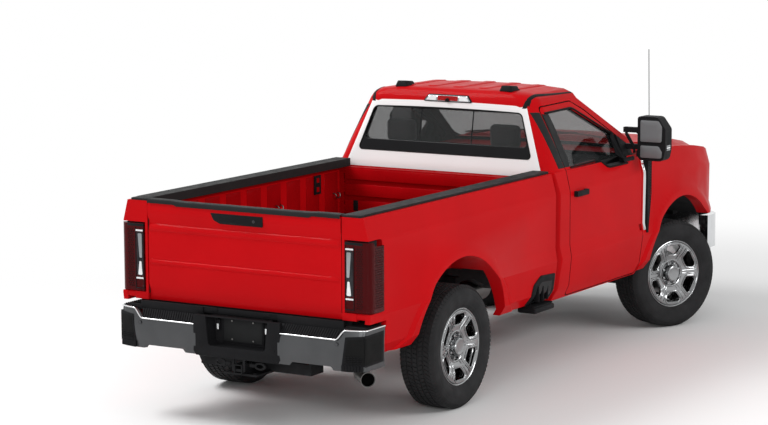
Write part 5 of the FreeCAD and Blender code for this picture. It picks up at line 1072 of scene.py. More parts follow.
def build_bumper():
    """Metal panels, bright edge and sloped treads, then the plate tub and the corner steps."""
    bm = bmesh.new()
    for side in (1, -1):
        slab(bm, panel_rows(side, corner_stations()), lambda p: (
            0.014 if abs(p.y) < BUMPER_END_Y else 0.0, -0.010 * math.copysign(1, p.y), 0.0))
    panels = settle("bumper_panels", bm, BUMPER_GREY, "chassis", sharp=40.0)
    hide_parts("rear_bumper")
    bm = bmesh.new()
    for side in (1, -1):
        line = []
        for y, x in corner_stations()[1:]:
            line.append((x + 0.0085, side * y, bumper_edges(y)[1] + 0.003))
        line = [(line[0][0] + 0.002, line[0][1] - side * 0.004, line[0][2] - 0.030)] + line
        add_tube(bm, line, 0.0055)
    settle("bumper_bright_edge", bm, EDGE_SILVER, "chassis", sharp=60.0)
    bm = bmesh.new()
    for side in (1, -1):
        corners = [(0.335, -2.936, 0.684), (0.775, -2.936, 0.684), (0.80, -2.888, 0.750),
            (0.335, -2.888, 0.750)]
        add_hexa(bm, [(x, side * y, z) for y, x, z in corners], (0.016, 0.0, -0.022))
        for k in range(23):
            y = 0.352 + 0.0192 * k
            add_rod(bm, (-2.931, side * y, 0.6930), (-2.892, side * (y + 0.010), 0.7465), 0.0042, 8)
        side_box(bm, side, (-2.893, 0.300, 0.748), (-2.879, 0.815, 0.7985), 0.004, 2)
        side_box(bm, side, (-2.886, 0.20, 0.7920), (-2.879, 0.79, 0.7995), 0.002, 1)
        corner_pad(bm, side)
    add_box(bm, (-2.884, -0.335, 0.758), (-2.8785, 0.335, 0.7990), 0.003, 2)
    for y in (-0.212, 0.212):
        add_box(bm, (-2.8875, y - 0.028, 0.770), (-2.8785, y + 0.028, 0.7992), 0.004, 2)
    steps = settle("bumper_treads", bm, BLACK, "chassis", sharp=35.0)
    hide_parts("bumper_steps")
    build_plate_tub()
    build_corner_steps()


def add_hexa(bm, quad, push):
    """A plate from four points pushed along one direction."""
    rings = [[bm.verts.new(Vector(p) + Vector(push) * t) for p in quad] for t in (0, 1)]
    skin_rings(bm, rings, capped=True)


def add_tube(bm, points, radius, sides=10):
    """A round bead along any line, its ends closed."""
    rings = []
    reference = Vector((0.13, 0.21, 0.97)).normalized()
    for i, point in enumerate(points):
        ahead, back = Vector(points[min(i + 1, len(points) - 1)]), Vector(points[max(i - 1, 0)])
        along = (ahead - back).normalized()
        side = along.cross(reference)
        if side.length < 0.05:
            side = along.cross(Vector((1, 0, 0)))
        side.normalize()
        rings.append(round_ring(bm, Vector(point), side, side.cross(along), radius, sides))
    skin_rings(bm, rings, capped=True)


def corner_pad(bm, side):
    """Ribbed pad on the raised corner of the bumper."""
    top = PAD_Z + PAD_TALL
    for k in range(9):
        x = -2.868 + 0.0225 * k
        side_box(bm, side, (x, 0.822, top - 0.001), (x + 0.011, 0.965, top + 0.006), 0.002, 1)
    plan = [(-2.893, 0.800), (-2.880, 0.972), (-2.662, 0.975), (-2.662, 0.880), (-2.800, 0.800)]
    on_plan = [(x, side * y) for x, y in plan]
    add_outline(bm, on_plan, lambda a, b: (a, b, PAD_Z - 0.012), (0, 0, PAD_TALL + 0.012), 0.003, 2)


def build_plate_tub():
    """Black middle of the bumper: recess, blank plate and its two lamps; the sensors and the inner beam."""
    bm = bmesh.new()
    outer = rounded_outline([(-0.326, 0.4795), (0.326, 0.4795), (0.345, 0.505), (0.345, 0.748),
        (-0.345, 0.748), (-0.345, 0.505)], 4)
    recess = [(-0.232, 0.545, 0.030), (0.232, 0.545, 0.030), (0.252, 0.7465), (-0.252, 0.7465)]
    hole = rounded_outline(recess, 6)
    face = flat_plate([outer, hole], 0.034, 0.004, 2)
    bmesh.ops.rotate(face, cent=(0, 0, 0), matrix=Matrix.Rotation(math.radians(90), 3, "Z"), verts=face.verts)
    bmesh.ops.translate(face, vec=(-2.9235, 0, 0), verts=face.verts)
    take_in(bm, face)
    loops = []
    for depth, shrink in ((-2.9375, 0.0), (-2.9100, 0.004), (-2.8500, 0.014), (-2.8470, 0.020)):
        loops.append([
            (depth, y * (1 - shrink / 0.24), z + (shrink if z < 0.6 else 0.0)) for y, z in hole
        ])
    skin_rings(bm, [[bm.verts.new(p) for p in loop] for loop in loops])
    bm.faces.new([bm.verts.new(p) for p in loops[-1]])
    add_box(bm, (-2.8560, -0.166, 0.566), (-2.8465, 0.166, 0.738), 0.008, 3)
    add_box(bm, (-2.8585, -0.1525, 0.578), (-2.8555, 0.1525, 0.7300), 0.0012, 2, mat=1)
    for y in (-0.085, 0.085):
        for z in (0.592, 0.716):
            add_rod(bm, (-2.8625, y, z), (-2.8580, y, z), 0.0062, 6, mat=2)
    for side in (1, -1):
        add_box(bm, (-2.8700, side * 0.196 - 0.016, 0.640), (-2.8465, side * 0.196 + 0.016, 0.722), 0.010, 3)
        add_box(bm, (-2.8735, side * 0.196 - 0.009, 0.652), (-2.8690, side * 0.196 + 0.009, 0.690),
            0.003, 2, mat=3)
        add_rod(bm, (-2.8735, side * 0.196, 0.706), (-2.8680, side * 0.196, 0.706), 0.0070, 12)
        add_outline(
            bm, [(0.0, 0.0), (-0.030, 0.0), (-0.040, 0.030), (-0.020, 0.055), (0.0, 0.055)],
            lambda a, b: (-2.9399, side * (0.292 - a), 0.640 + b), (0.004, 0, 0), 0.002, 2)
    for y in (-0.300, 0.300):
        add_rod(bm, (-2.9435, y, 0.560), (-2.9390, y, 0.560), 0.006, 16)
    settle("plate_tub", bm, [BLACK, CAP_BLACK, STEEL, LAMP_WHITE], "chassis", sharp=35.0)
    bm = bmesh.new()
    for side in (1, -1):
        y, z = side * 0.790, 0.655
        x = bumper_face_x(y)
        add_rod(bm, (x - 0.0008, y, z), (x + 0.010, y, z), 0.0125, 28, 0.0135)
        add_rod(bm, (x - 0.0013, y, z), (x + 0.004, y, z), 0.0088, 24, mat=1)
    settle("parking_sensors", bm, [GUNMETAL, BUMPER_GREY], "chassis", sharp=35.0)
    bm = bmesh.new()
    for side in (1, -1):
        side_box(bm, side, (-2.912, 0.395, 0.540), (-2.760, 0.465, 0.700), 0.006, 2)
        side_box(bm, side, (-2.905, 0.345, 0.540), (-2.888, 0.83 if side > 0 else 0.965, 0.560), 0.003, 1)
    add_box(bm, (-2.846, -0.43, 0.590), (-2.800, 0.43, 0.700), 0.010, 2)
    settle("bumper_beam", bm, FRAME_BLACK, "chassis", sharp=35.0)


def build_corner_steps():
    """Foot recesses that wrap both ends of the bumper, each with a ribbed sill and a lower lip."""
    bm = bmesh.new()
    for side in (1, -1):
        face = lambda spot: bumper_face_x(spot[1]) + 0.0005
        flank = lambda spot: side * 0.9825
        for grow, height, mat in ((0.0, 0.0035, 0), (0.014, 0.0042, 1)):
            plate = [(0.826 + grow, 0.518 + grow), (0.976, 0.514 + grow), (0.976, 0.716 - grow),
                (0.852 + grow, 0.706 - grow)]
            trim_plate(bm, on_side(side, plate), face, *REAR, height, 0.004, 0.02, mat)
            plate = [(-2.896, 0.512 + grow), (-2.668 - grow, 0.516 + grow), (-2.664 - grow, 0.722 - grow),
                (-2.896, 0.718 - grow)]
            trim_plate(bm, plate, flank, ACROSS, side, 0.0010 + 0.0011 * mat, 0.002, 0.03, mat)
        for k in range(4):
            z = 0.538 + 0.012 * k
            for j in range(6):
                y = 0.846 + 0.020 * j
                x = bumper_face_x(y) - 0.0036
                side_box(bm, side, (x - 0.0026, y, z), (x + 0.004, 0.866 + 0.020 * j, z + 0.005), 0.001, 1)
        for j in range(7):
            y = 0.826 + 0.020 * j
            x = bumper_face_x(y) - 0.0030
            side_box(bm, side, (x - 0.0030, y, 0.4805), (x + 0.010, 0.848 + 0.020 * j, 0.5220), 0.002, 2)
    settle("corner_steps", bm, [BLACK, RUBBER], "chassis", sharp=35.0)


def build_pipe_mouth():
    """Painted shade: a near-black plug inside the tail pipe's open tip, standing in for the shade in its
    hollow.
    """
    bm = bmesh.new()
    mouth, inward = Vector((-2.7640, -0.9200, 0.4020)), Vector((math.sqrt(0.5), math.sqrt(0.5), 0.0))
    add_rod(bm, mouth + inward * 0.014, mouth + inward * 0.070, 0.0457, 40)
    settle("pipe_mouth", bm, PIPE_HOLLOW_SHADE, "chassis", sharp=40.0)


LAMP_X, LAMP_SIDE_Y = -2.8590, 1.0025


def lamp_wrap_rows(levels, out=0.0):
    """Points round the left rear corner at each level: rear face, rounded corner, side face."""
    rows = []
    for z in levels:
        row = []
        for y in (0.806, 0.830, 0.860, 0.890, 0.920, 0.945):
            row.append((LAMP_X - out, y, z))
        for k in range(1, 8):
            angle = math.radians(90 * k / 8)
            bend = 1 - math.cos(angle)
            row.append((LAMP_X - out + (0.052 + out) * bend, 0.950 + (0.0525 + out) * math.sin(angle), z))
        for x in (-2.800, -2.775, -2.750, -2.725, -2.700, -2.690):
            row.append((x, LAMP_SIDE_Y + out, z))
        rows.append(row)
    return rows


def build_tail_lamps():
    """Smoked lens over a bright column, the meshed side part and a black surround."""
    bm = bmesh.new()
    levels = [0.856, 0.870] + [0.870 + 0.0448 * k for k in range(1, 10)] + [1.288, 1.306]
    rows = lamp_wrap_rows(levels)
    top = []
    for i, (x, y, z) in enumerate(rows[-1]):
        if i > 12:
            top.append((x, y, z - 0.010 - 0.002 * (i - 12)))
        else:
            top.append((x, y, z + 0.014))
    rows[-1] = top
    slab(bm, rows, lambda p: (0.018 if p.y < 0.96 else 0.006, -0.016 if p.y > 0.9 else 0.0, 0.0))
    mirror_copy(bm)
    lens = settle("tail_lamp_lens", bm, SMOKED_RED, "chassis", sharp=50.0)
    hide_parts("tail_lamps")
    bm = bmesh.new()
    for y0, y1, z0, z1, mat in (
            (0.8075, 0.8115, 0.872, 1.296, 0), (0.8735, 0.8785, 0.872, 1.290, 0),
            (0.8115, 0.8735, 0.872, 0.878, 0)):
        add_box(bm, (-2.8625, y0, z0), (-2.8560, y1, z1), 0.0012, 2, mat)
    column = [
        (0.8150, 0.960, 0.006), (0.8690, 0.960, 0.010), (0.8690, 1.262, 0.010), (0.8150, 1.262, 0.006)]
    add_outline(bm, rounded_outline(column, 4), rear_lift(-2.8606), (0.003, 0, 0), 0.001, 2, mat=3)
    bright = [(0.8200, 0.966, 0.008), (0.8560, 0.966, 0.008), (0.8440, 1.060, 0.006), (0.8280, 1.060, 0.006)]
    add_outline(bm, rounded_outline(bright, 4), rear_lift(-2.8632), (0.004, 0, 0), 0.001, 2, mat=1)
    dark = [(0.8220, 1.085, 0.006), (0.8430, 1.085, 0.006), (0.8560, 1.252, 0.008), (0.8220, 1.252, 0.008)]
    add_outline(bm, rounded_outline(dark, 4), rear_lift(-2.8632), (0.004, 0, 0), 0.001, 2, mat=2)
    add_box(bm, (-2.8630, 0.8130, 0.938), (-2.8570, 0.8730, 0.950), 0.002, 2, mat=1)
    add_box(bm, (-2.8630, 0.8130, 1.266), (-2.8570, 0.8730, 1.278), 0.002, 2, mat=1)
    for row in range(26):
        z = 0.884 + 0.0155 * row
        for k in range(3):
            y = 0.892 + 0.0165 * k + (0.008 if row % 2 else 0.0)
            add_box(bm, (-2.8606, y, z), (-2.8580, y + 0.0105, z + 0.0090), 0.001, 1, mat=4)
        for k in range(6):
            x = -2.800 + 0.0165 * k + (0.008 if row % 2 else 0.0)
            add_box(bm, (x, 1.0010, z), (x + 0.0105, 1.0036, z + 0.0090), 0.001, 1, mat=4)
    add_box(bm, (-2.8606, 0.806, 1.300), (-2.8480, 0.944, 1.3180), 0.002, 2)
    mirror_copy(bm)
    settle("tail_lamp_inside", bm, [GLOSS_BLACK, LAMP_WHITE, SHADE_CHROME, DARK_LENS, SMOKED_DOT], "chassis",
        sharp=40.0)


CAP_DIP = 0.0052  # the gate's cap lies this much lower in its middle


def build_gate_fittings():
    """Cap along the gate's top, handle plate with its lock, side seals and rubber stops."""
    bm = bmesh.new()
    stations = []
    for k in range(65):
        y = -0.7725 + 1.545 * k / 64
        stations.append((y, CAP_DIP * (1 - ease(abs(y), 0.50, 0.60))))
    rows = []
    for x, z in (
            (-2.8630, 1.4560), (-2.8640, 1.4660), (-2.8630, 1.4850), (-2.8585, 1.4925), (-2.8500, 1.4938),
            (-2.7980, 1.4938), (-2.7890, 1.4915), (-2.7845, 1.4830), (-2.7845, 1.4785)):
        row = []
        for y, dip in stations:
            low = z
            if z < 1.479 and x < -2.8 and dip < CAP_DIP / 2:
                low = z + 0.010
            row.append((x, y, low - (dip if z > 1.48 else 0.0)))
        rows.append(row)
    slab(bm, rows, lambda p: (0.0025 if p.x < -2.82 else -0.001, 0.0, -0.0035 if p.z > 1.48 else 0.0))
    cap = settle("gate_cap", bm, CAP_BLACK, "tailgate", sharp=45.0)
    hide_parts("tailgate_trim")
    bm = bmesh.new()
    plate = rounded_outline([
        (-0.170, 1.364, 0.008), (0.172, 1.364, 0.030), (0.226, 1.386, 0.024), (0.250, 1.4335),
        (-0.170, 1.4335)], 5)
    add_outline(bm, plate, rear_lift(-2.8560), (-0.0070, 0, 0), 0.0022, 2)
    scoop = rounded_outline([
        (-0.060, 1.374, 0.010), (0.150, 1.374, 0.014), (0.176, 1.392, 0.010), (0.176, 1.424, 0.008),
        (-0.060, 1.424, 0.008)], 4)
    ring = [bm.verts.new((-2.8632, y, z)) for y, z in scoop]
    deep = [bm.verts.new((-2.8590, y * 0.94 + 0.003, 1.399 + (z - 1.399) * 0.84)) for y, z in scoop]
    skin_rings(bm, [ring, deep], mat=1)
    bm.faces.new(deep).material_index = 1
    add_box(bm, (-2.8638, -0.045, 1.406), (-2.8595, 0.150, 1.4235), 0.0025, 2)
    add_rod(bm, (-2.8637, -0.098, 1.398), (-2.8560, -0.098, 1.398), 0.0165, 32, 0.0175)
    add_rod(bm, (-2.8639, -0.098, 1.398), (-2.8600, -0.098, 1.398), 0.0105, 28, mat=2)
    add_box(bm, (-2.86395, -0.0995, 1.3925), (-2.8635, -0.0965, 1.4035), 0.0004, 1, mat=1)
    settle("gate_handle", bm, [BLACK, GLOSS_BLACK, GUNMETAL], "tailgate", sharp=35.0)
    bm = bmesh.new()
    for side in (1, -1):
        side_box(bm, side, (-2.8480, 0.7742, 0.846), (-2.8020, 0.7722, 1.462), 0.0006, 1)
        for z in (0.880, 1.400):
            side_box(bm, side, (-2.8350, 0.7735, z), (-2.8120, 0.7655, z + 0.040), 0.003, 2)
    settle("gate_seals", bm, RUBBER, "tailgate", sharp=40.0)
    inside_gate()


def inside_gate():
    """Pressed inner panel of the tailgate with its service cover and screws."""
    bm = bmesh.new()
    add_box(bm, (-2.7860, -0.700, 0.905), (-2.7835, 0.700, 1.405), 0.0011, 2)
    for k in range(5):
        y = -0.56 + 0.28 * k
        add_box(bm, (-2.7855, y - 0.095, 0.960), (-2.7830, y + 0.095, 1.030), 0.0011, 2)
    add_box(bm, (-2.7855, -0.30, 1.120), (-2.7828, 0.30, 1.330), 0.0012, 2)
    for k in range(4):
        for z in (1.135, 1.315):
            add_rod(bm, (-2.7836, -0.27 + 0.18 * k, z), (-2.7815, -0.27 + 0.18 * k, z), 0.008, 12, mat=1)
    settle("gate_inner_panel", bm, [BED_RED, STEEL], "tailgate", sharp=35.0)


# Cab: rear panel, lamps on the roof, mouldings, window trim, mirrors and vents
def paired_loops(outer_corners, inner_corners, steps=6):
    """Two loops with the same number of points, from corners with radii."""
    outer = dense_by_corner(rounded_outline(outer_corners, steps), steps, len(outer_corners))
    inner = dense_by_corner(rounded_outline(inner_corners, steps), steps, len(inner_corners))
    return outer, inner


def dense_by_corner(points, steps, corners, run=14):
    """Adds the same number of points along every straight run."""
    group = steps + 1
    out = []
    for c in range(corners):
        arc = points[c * group:(c + 1) * group]
        out += arc
        here, there = arc[-1], points[((c + 1) % corners) * group]
        out += [between(here, there, k / run) for k in range(1, run)]
    return out


def build_rear_panel():
    """White panel round the rear window, its seal and the slider's frame."""
    bm = bmesh.new()
    outer, inner = paired_loops(
        [(-0.852, 1.437, 0.008), (0.852, 1.437, 0.008), (0.664, 1.946, 0.022), (-0.664, 1.946, 0.022)],
        [(-0.748, 1.566, 0.024), (0.748, 1.566, 0.024), (0.634, 1.896, 0.045), (-0.634, 1.896, 0.045)])
    arch = lambda y: 0.010 * (1 - (y / 0.65) ** 2)
    bow = lambda loop, low, high: [(y, z + arch(y) * max(0.0, (z - low) / (high - low))) for y, z in loop]
    outer, inner = bow(outer, 1.7, 1.94), bow(inner, 1.75, 1.90)
    panel_frame(bm, outer, inner)
    hole = dense_by_corner(rounded_outline(
        [(-0.708, 1.648, 0.030), (0.708, 1.648, 0.030), (0.630, 1.892, 0.045),
        (-0.630, 1.892, 0.045)], 6), 6, 4)
    band = bmesh.new()
    panel_frame(band, [(y * 1.004, z) for y, z in inner], hole, 0.0008)
    settle("rear_glass_band", band, GLOSS_BLACK, "chassis", sharp=50.0)
    settle("rear_panel_white", bm, WHITE, "chassis", sharp=50.0)
    bm = bmesh.new()
    seal_loop(bm, [(leaning_x(z) - 0.0026, y, z) for y, z in inner], 0.0042)
    settle("rear_window_seal", bm, RUBBER, "chassis", sharp=60.0)
    bm = bmesh.new()
    for y in (-0.225, 0.225):
        heights = (1.634, 1.70, 1.78, 1.86, 1.905)
        add_tube(bm, [(leaning_x(z) + 0.012, y * (1 - (z - 1.63) * 0.02), z) for z in heights], 0.0050, 8)
    settle("rear_slider_frame", bm, BLACK, "chassis", sharp=60.0)


def seal_loop(bm, points, radius):
    """A round bead along a closed line on the rear wall."""
    rings = []
    for i, point in enumerate(points):
        along = (Vector(points[(i + 1) % len(points)]) - Vector(points[i - 1])).normalized()
        side = along.cross(Vector((0.98, 0.17, 0.05))).normalized()
        rings.append(round_ring(bm, Vector(point), side, side.cross(along), radius, 8))
    skin_rings(bm, rings, closed=True)


def leaning_x(z):
    """The flat part of the cab's rear face, which leans forwards as it rises."""
    return -0.1958 + (z - 1.478) * 0.1941


def rear_wall_x(y, z):
    """Rear face of the cab above the belt: a leaning plane whose sides turn forwards."""
    found = surface_at(["cab_shell"], *REAR, (0, y, z), 3.0)
    flat = leaning_x(z)
    return flat if found is None or found > flat + 0.05 else found


def panel_frame(bm, outer, inner, lift=0.0016):
    """Thin plate between two loops, lying on the cab's rear face."""
    steps = [(0.0, -0.001), (0.004, lift), (0.03, lift + 0.0004)]
    steps += [(t, lift + 0.0006) for t in (0.12, 0.25, 0.4, 0.55, 0.7, 0.85)]
    steps += [(0.97, lift + 0.0004), (1.0, lift - 0.0006), (1.0, -0.004)]
    add_frame(bm, outer, inner, steps, lambda y, z, tall: (rear_wall_x(y, z) - tall, y, z))


def build_roof():
    """Raised roof ribs, black ditch mouldings, two marker pods and the high-mounted lamp."""
    bm = bmesh.new()
    for k in range(5):
        y = -0.44 + 0.22 * k
        rib = rounded_box((0.020, y - 0.048), (0.600, y + 0.048), 0.040, 6)
        trim_plate(bm, rib, ["cab_shell"], *TOP, 0.0062, 0.020, 0.06)
    settle("roof_ribs", bm, RED, "chassis", sharp=60.0)
    bm = bmesh.new()
    for side in (1, -1):
        band = [(-0.090, 0.646), (-0.02, 0.652), (0.30, 0.664), (0.58, 0.668), (0.66, 0.668),
                (0.66, 0.678), (0.58, 0.682), (0.30, 0.684), (-0.02, 0.682), (-0.085, 0.684)]
        trim_plate(bm, [(x, side * y) for x, y in band], ["cab_shell"], *TOP, 0.0055, 0.006, 0.03)
        rear = [(0.632, 1.930), (0.666, 1.930), (0.682, 1.992), (0.648, 1.992)]
        trim_plate(bm, on_side(side, rear), ["cab_shell"], *REAR, 0.0055, 0.006, 0.012, start=3.0)
    settle("roof_ditch_mouldings", bm, BLACK, "chassis", sharp=50.0)
    bm = bmesh.new()
    for side in (1, -1):
        marker_pod(bm, 0.035, side * 0.452)
    pods = settle("roof_markers", bm, [BLACK, DARK_LENS], "chassis", sharp=40.0)
    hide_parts("roof_lamps")
    high_lamp()


def marker_pod(bm, x, y):
    """Streamlined pod on a gasket, with a smoked lens in front."""
    base = surface_at(["cab_shell"], *TOP, (x + 0.02, y, 0))
    own = rounded_block((0.150, 0.104, 0.052), 0.015, 4)
    for vert in own.verts:
        share = vert.co.x / 0.075
        if vert.co.z > 0:
            vert.co.z -= 0.012 * max(0.0, share) ** 2
            vert.co.y *= 0.86
            vert.co.x -= 0.016 if share > 0.4 else (-0.012 if share < -0.4 else 0.0)
    bmesh.ops.translate(own, vec=(x, y, base + 0.012), verts=own.verts)
    take_in(bm, own)
    own = rounded_block((0.020, 0.070, 0.018), 0.004, 2)
    bmesh.ops.translate(own, vec=(x + 0.060, y, base + 0.012), verts=own.verts)
    take_in(bm, own, mat=1)


def high_lamp():
    """High-mounted lamp: dark housing with two clear ends, a red middle and a small camera eye."""
    bm = bmesh.new()
    nodes = ["cab_shell"]
    shell = rounded_outline([(-0.218, 1.950, 0.010), (0.218, 1.950, 0.010), (0.172, 2.006, 0.016),
        (-0.172, 2.006, 0.016)], 5)
    trim_plate(bm, shell, nodes, *REAR, 0.0090, 0.005, 0.02, 0, start=3.0)
    rim = rounded_outline([(-0.206, 1.9550, 0.008), (0.206, 1.9550, 0.008), (0.165, 2.002, 0.012),
        (-0.165, 2.002, 0.012)], 5)
    trim_plate(bm, rim, nodes, *REAR, 0.0105, 0.003, 0.02, 1, start=3.0)
    for side in (1, -1):
        clear = rounded_outline([(side * 0.096, 1.9590, 0.004), (side * 0.192, 1.9590, 0.008),
            (side * 0.158, 1.998, 0.010), (side * 0.096, 1.998, 0.004)], 4)
        trim_plate(bm, clear, nodes, *REAR, 0.0135, 0.004, 0.02, 2, start=3.0)
    middle = rounded_box((-0.090, 1.9590), (0.090, 1.998), 0.004, 4)
    trim_plate(bm, middle, nodes, *REAR, 0.0130, 0.004, 0.02, 3, start=3.0)
    x = surface_at(nodes, *REAR, (0, 0, 1.962))
    add_rod(bm, (x - 0.0250, 0, 1.966), (x - 0.004, 0, 1.966), 0.013, 24, 0.017)
    add_rod(bm, (x - 0.0258, 0, 1.966), (x - 0.020, 0, 1.966), 0.0065, 20, mat=4)
    settle("high_mount_lamp", bm, [BLACK, SHADE_CHROME, LAMP_WHITE, BRIGHT_RED, GLOSS_BLACK], "chassis",
        sharp=45.0)


def frame_side(p):
    """Place beside the door window where the frame's skin gives the side's slope."""
    spot = p.copy()
    spot.x = 0.018 - (p.z - 1.496) * 0.1026 if p.z > 1.505 else p.x
    return spot


def build_door_trim():
    """On each door its pillar strip, window seal, sail and handle recess; the cab's own pillar strips."""
    for side, name in SIDES:
        door = "door_" + name
        bm = bmesh.new()
        strip = [(-0.003, 1.498), (0.098, 1.498), (0.100, 1.56), (0.062, 1.890), (-0.031, 1.890)]
        trim_plate(bm, strip, [door], ACROSS, side, 0.0045, 0.005, 0.04, 0, at=frame_side)
        settle("pillar_trim_" + name, bm, CAP_BLACK, "door_" + name, sharp=50.0)
        bm = bmesh.new()
        line = [(0.095, 1.489), (0.552, 1.489), (0.600, 1.476), (0.668, 1.438), (0.706, 1.428),
            (1.015, 1.427)]
        path = line_on(line, [door], ACROSS, side, 0.0025)
        add_tube(bm, path, 0.0075, 8)
        top = [(1.034, 1.450), (1.034, 1.632), (1.004, 1.655), (0.505, 1.881), (0.459, 1.893), (0.0, 1.893)]
        path = line_on(top, [door], ACROSS, side, 0.0020, 0.03)
        add_tube(bm, path, 0.0085, 8)
        settle("window_seal_" + name, bm, RUBBER, "door_" + name, sharp=60.0)
        bm = bmesh.new()
        sail = rounded_outline([(0.962, 1.436, 0.010), (1.150, 1.436, 0.020), (1.128, 1.560, 0.020),
            (1.045, 1.640, 0.012), (0.990, 1.664, 0.008)], 4)
        trim_plate(bm, sail, [door], ACROSS, side, 0.010, 0.008, 0.03, 0,
            at=lambda p: Vector((max(p.x, 1.045), p.y, p.z)))
        settle("mirror_sail_" + name, bm, BLACK, "door_" + name, sharp=45.0)
        bm = bmesh.new()
        ring_outer = oval_loop((0.155, 1.299), (0.062, 0.040), 36)
        ring_inner = oval_loop((0.155, 1.299), (0.050, 0.031), 36)
        trim_ring(bm, ring_outer, ring_inner, [door], ACROSS, side, 0.0016, share=0.45)
        side_box(bm, side, (0.268, 0.9838, 1.288), (0.286, 0.9862, 1.306), 0.002, 2)
        settle("handle_recess_" + name, bm, RED, "door_" + name, sharp=60.0)
    bm = bmesh.new()
    for side in (1, -1):
        strip = [(-0.095, 1.498), (-0.0115, 1.498), (-0.0375, 1.905), (-0.098, 1.905)]
        trim_plate(bm, strip, ["cab_shell"], ACROSS, side, 0.0045, 0.005, 0.03, 0,
                   at=lambda p: Vector((min(p.x, -0.048), p.y, p.z)))
    settle("cab_pillar_trim", bm, CAP_BLACK, "chassis", sharp=50.0)


MIRROR_Y = 1.12


def build_mirrors():
    """On each mirror two glasses with rims, the marker on its outer side, the arms' bands and a brace."""
    for side, name in SIDES:
        node = "mirror_" + name
        bm = bmesh.new()
        middle = lambda p: Vector((p.x, side * MIRROR_Y, 1.62))
        y0, y1 = 1.020, 1.220
        for z0, z1 in ((1.578, 1.766), (1.458, 1.566)):
            loop = [(side * y, z) for y, z in rounded_outline(
                [(y0, z0, 0.014), (y1 - 0.004, z0, 0.020), (y1, z1 - 0.05, 0.020), (y1 - 0.032, z1, 0.024),
                (y0, z1, 0.014)], 5)]
            trim_plate(bm, loop, [node], *REAR, 0.0040, 0.005, 0.05, 0, start=-1.0, at=middle)
            level = (z0 + z1) / 2
            across = lambda y: side * (MIRROR_Y + (abs(y) - MIRROR_Y) * 0.93)
            small = [(across(y), level + (z - level) * 0.90) for y, z in loop]
            trim_plate(bm, small, [node], *REAR, 0.0062, 0.004, 0.05, 1, start=-1.0, at=middle)
        settle("mirror_glass_" + name, bm, [BLACK, MIRROR], "door_" + name, sharp=40.0)
        bm = bmesh.new()
        for z, mat in ((1.560, 0), (1.545, 1), (1.530, 0)):
            outer = surface_at([node], ACROSS, side, (1.150, 0, z))
            low, high = sorted((outer - side * 0.030, outer + side * 0.0018))
            add_box(bm, (1.128, low, z - 0.0065), (1.190, high, z + 0.0065), 0.003, 2, mat)
        settle("mirror_marker_" + name, bm, [SHADE_CHROME, LAMP_WHITE], "door_" + name, sharp=40.0)
        bm = bmesh.new()
        for z in (1.492, 1.672):
            side_box(bm, side, (1.116, 0.982, z - 0.026), (1.176, 0.998, z + 0.026), 0.006, 3)
        bends = ((0.880, 1.664), (0.884, 1.640), (0.948, 1.540), (0.956, 1.492))
        add_tube(bm, [(1.146, side * y, z) for y, z in bends], 0.013, 12)
        settle("mirror_arm_bands_" + name, bm, BLACK, "door_" + name, sharp=40.0)


def build_vents():
    """Chrome strip and tapering meshed vent behind each front wheel."""
    bm = bmesh.new()
    for side in (1, -1):
        for low, high in ((0.872, 1.392), (1.396, 1.436)):
            wide = lambda z: 1.300 - 0.018 * (1.436 - z) / 0.56
            strip = [(1.252, low), (wide(low), low), (wide(high), high), (1.252, high)]
            trim_plate(bm, strip, ["fenders"], ACROSS, side, 0.0115, 0.008, 0.06, 0,
                at=lambda p: Vector((min(p.x, 1.285), p.y, p.z)))
    settle("vent_chrome", bm, CHROME, "chassis", sharp=50.0)
    bm = bmesh.new()
    for side in (1, -1):
        edge = [(1.302, 1.418), (1.352, 1.418), (1.352, 1.150), (1.304, 0.870)]
        x_front = lambda z: 1.352 if z > 1.15 else 1.304 + (z - 0.870) * 0.048 / 0.28
        for k in range(24):
            z = 0.900 + 0.0215 * k
            side_box(bm, side, (1.302, 0.9945, z), (x_front(z) - 0.002, 1.0055, z + 0.0075), 0.002, 1)
        for here, there in zip(edge, edge[1:]):
            add_rod(bm, (here[0], side * 1.003, here[1]), (there[0], side * 1.003, there[1]), 0.0042, 10)
    settle("vent_mesh", bm, BLACK, "chassis", sharp=50.0)


def build_box_steps():
    """Foothold behind the cab on each side: black surround, hollow and a ribbed pad."""
    bm = bmesh.new()
    for side in (1, -1):
        outer = rounded_outline([(-0.610, 0.552, 0.010), (-0.252, 0.552, 0.008), (-0.252, 0.752, 0.012),
            (-0.480, 0.764, 0.045), (-0.575, 0.705, 0.040)], 5)
        trim_plate(bm, outer, ["box_sides"], ACROSS, side, 0.0105, 0.008, 0.03, 0)
        hollow = rounded_outline([(-0.565, 0.556, 0.010), (-0.300, 0.556, 0.008), (-0.300, 0.706, 0.016),
            (-0.470, 0.718, 0.035), (-0.535, 0.670, 0.030)], 5)
        trim_plate(bm, hollow, ["box_sides"], ACROSS, side, 0.0118, 0.002, 0.03, 1)
        for k in range(3):
            x = -0.520 + 0.078 * k
            side_box(bm, side, (x, 0.955, 0.572),
                (x + 0.012, 0.9965 - 0.004 * k, 0.690 - 0.006 * k), 0.004, 2)
        side_box(bm, side, (-0.585, 0.852, 0.494), (-0.275, 1.000, 0.534), 0.014, 4)
        side_box(bm, side, (-0.570, 0.870, 0.528), (-0.290, 0.985, 0.545), 0.006, 3)
        for k in range(11):
            x = -0.560 + 0.0255 * k
            side_box(bm, side, (x, 0.880, 0.542), (x + 0.010, 0.990, 0.5495), 0.002, 1)
        for x in (-0.520, -0.340):
            add_rod(bm, (x, side * 0.935, 0.520), (x, side * 0.860, 0.640), 0.014, 12)
    steps = settle("box_side_steps", bm, [BLACK, GLOSS_BLACK], "chassis", sharp=40.0)
    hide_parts("box_steps")


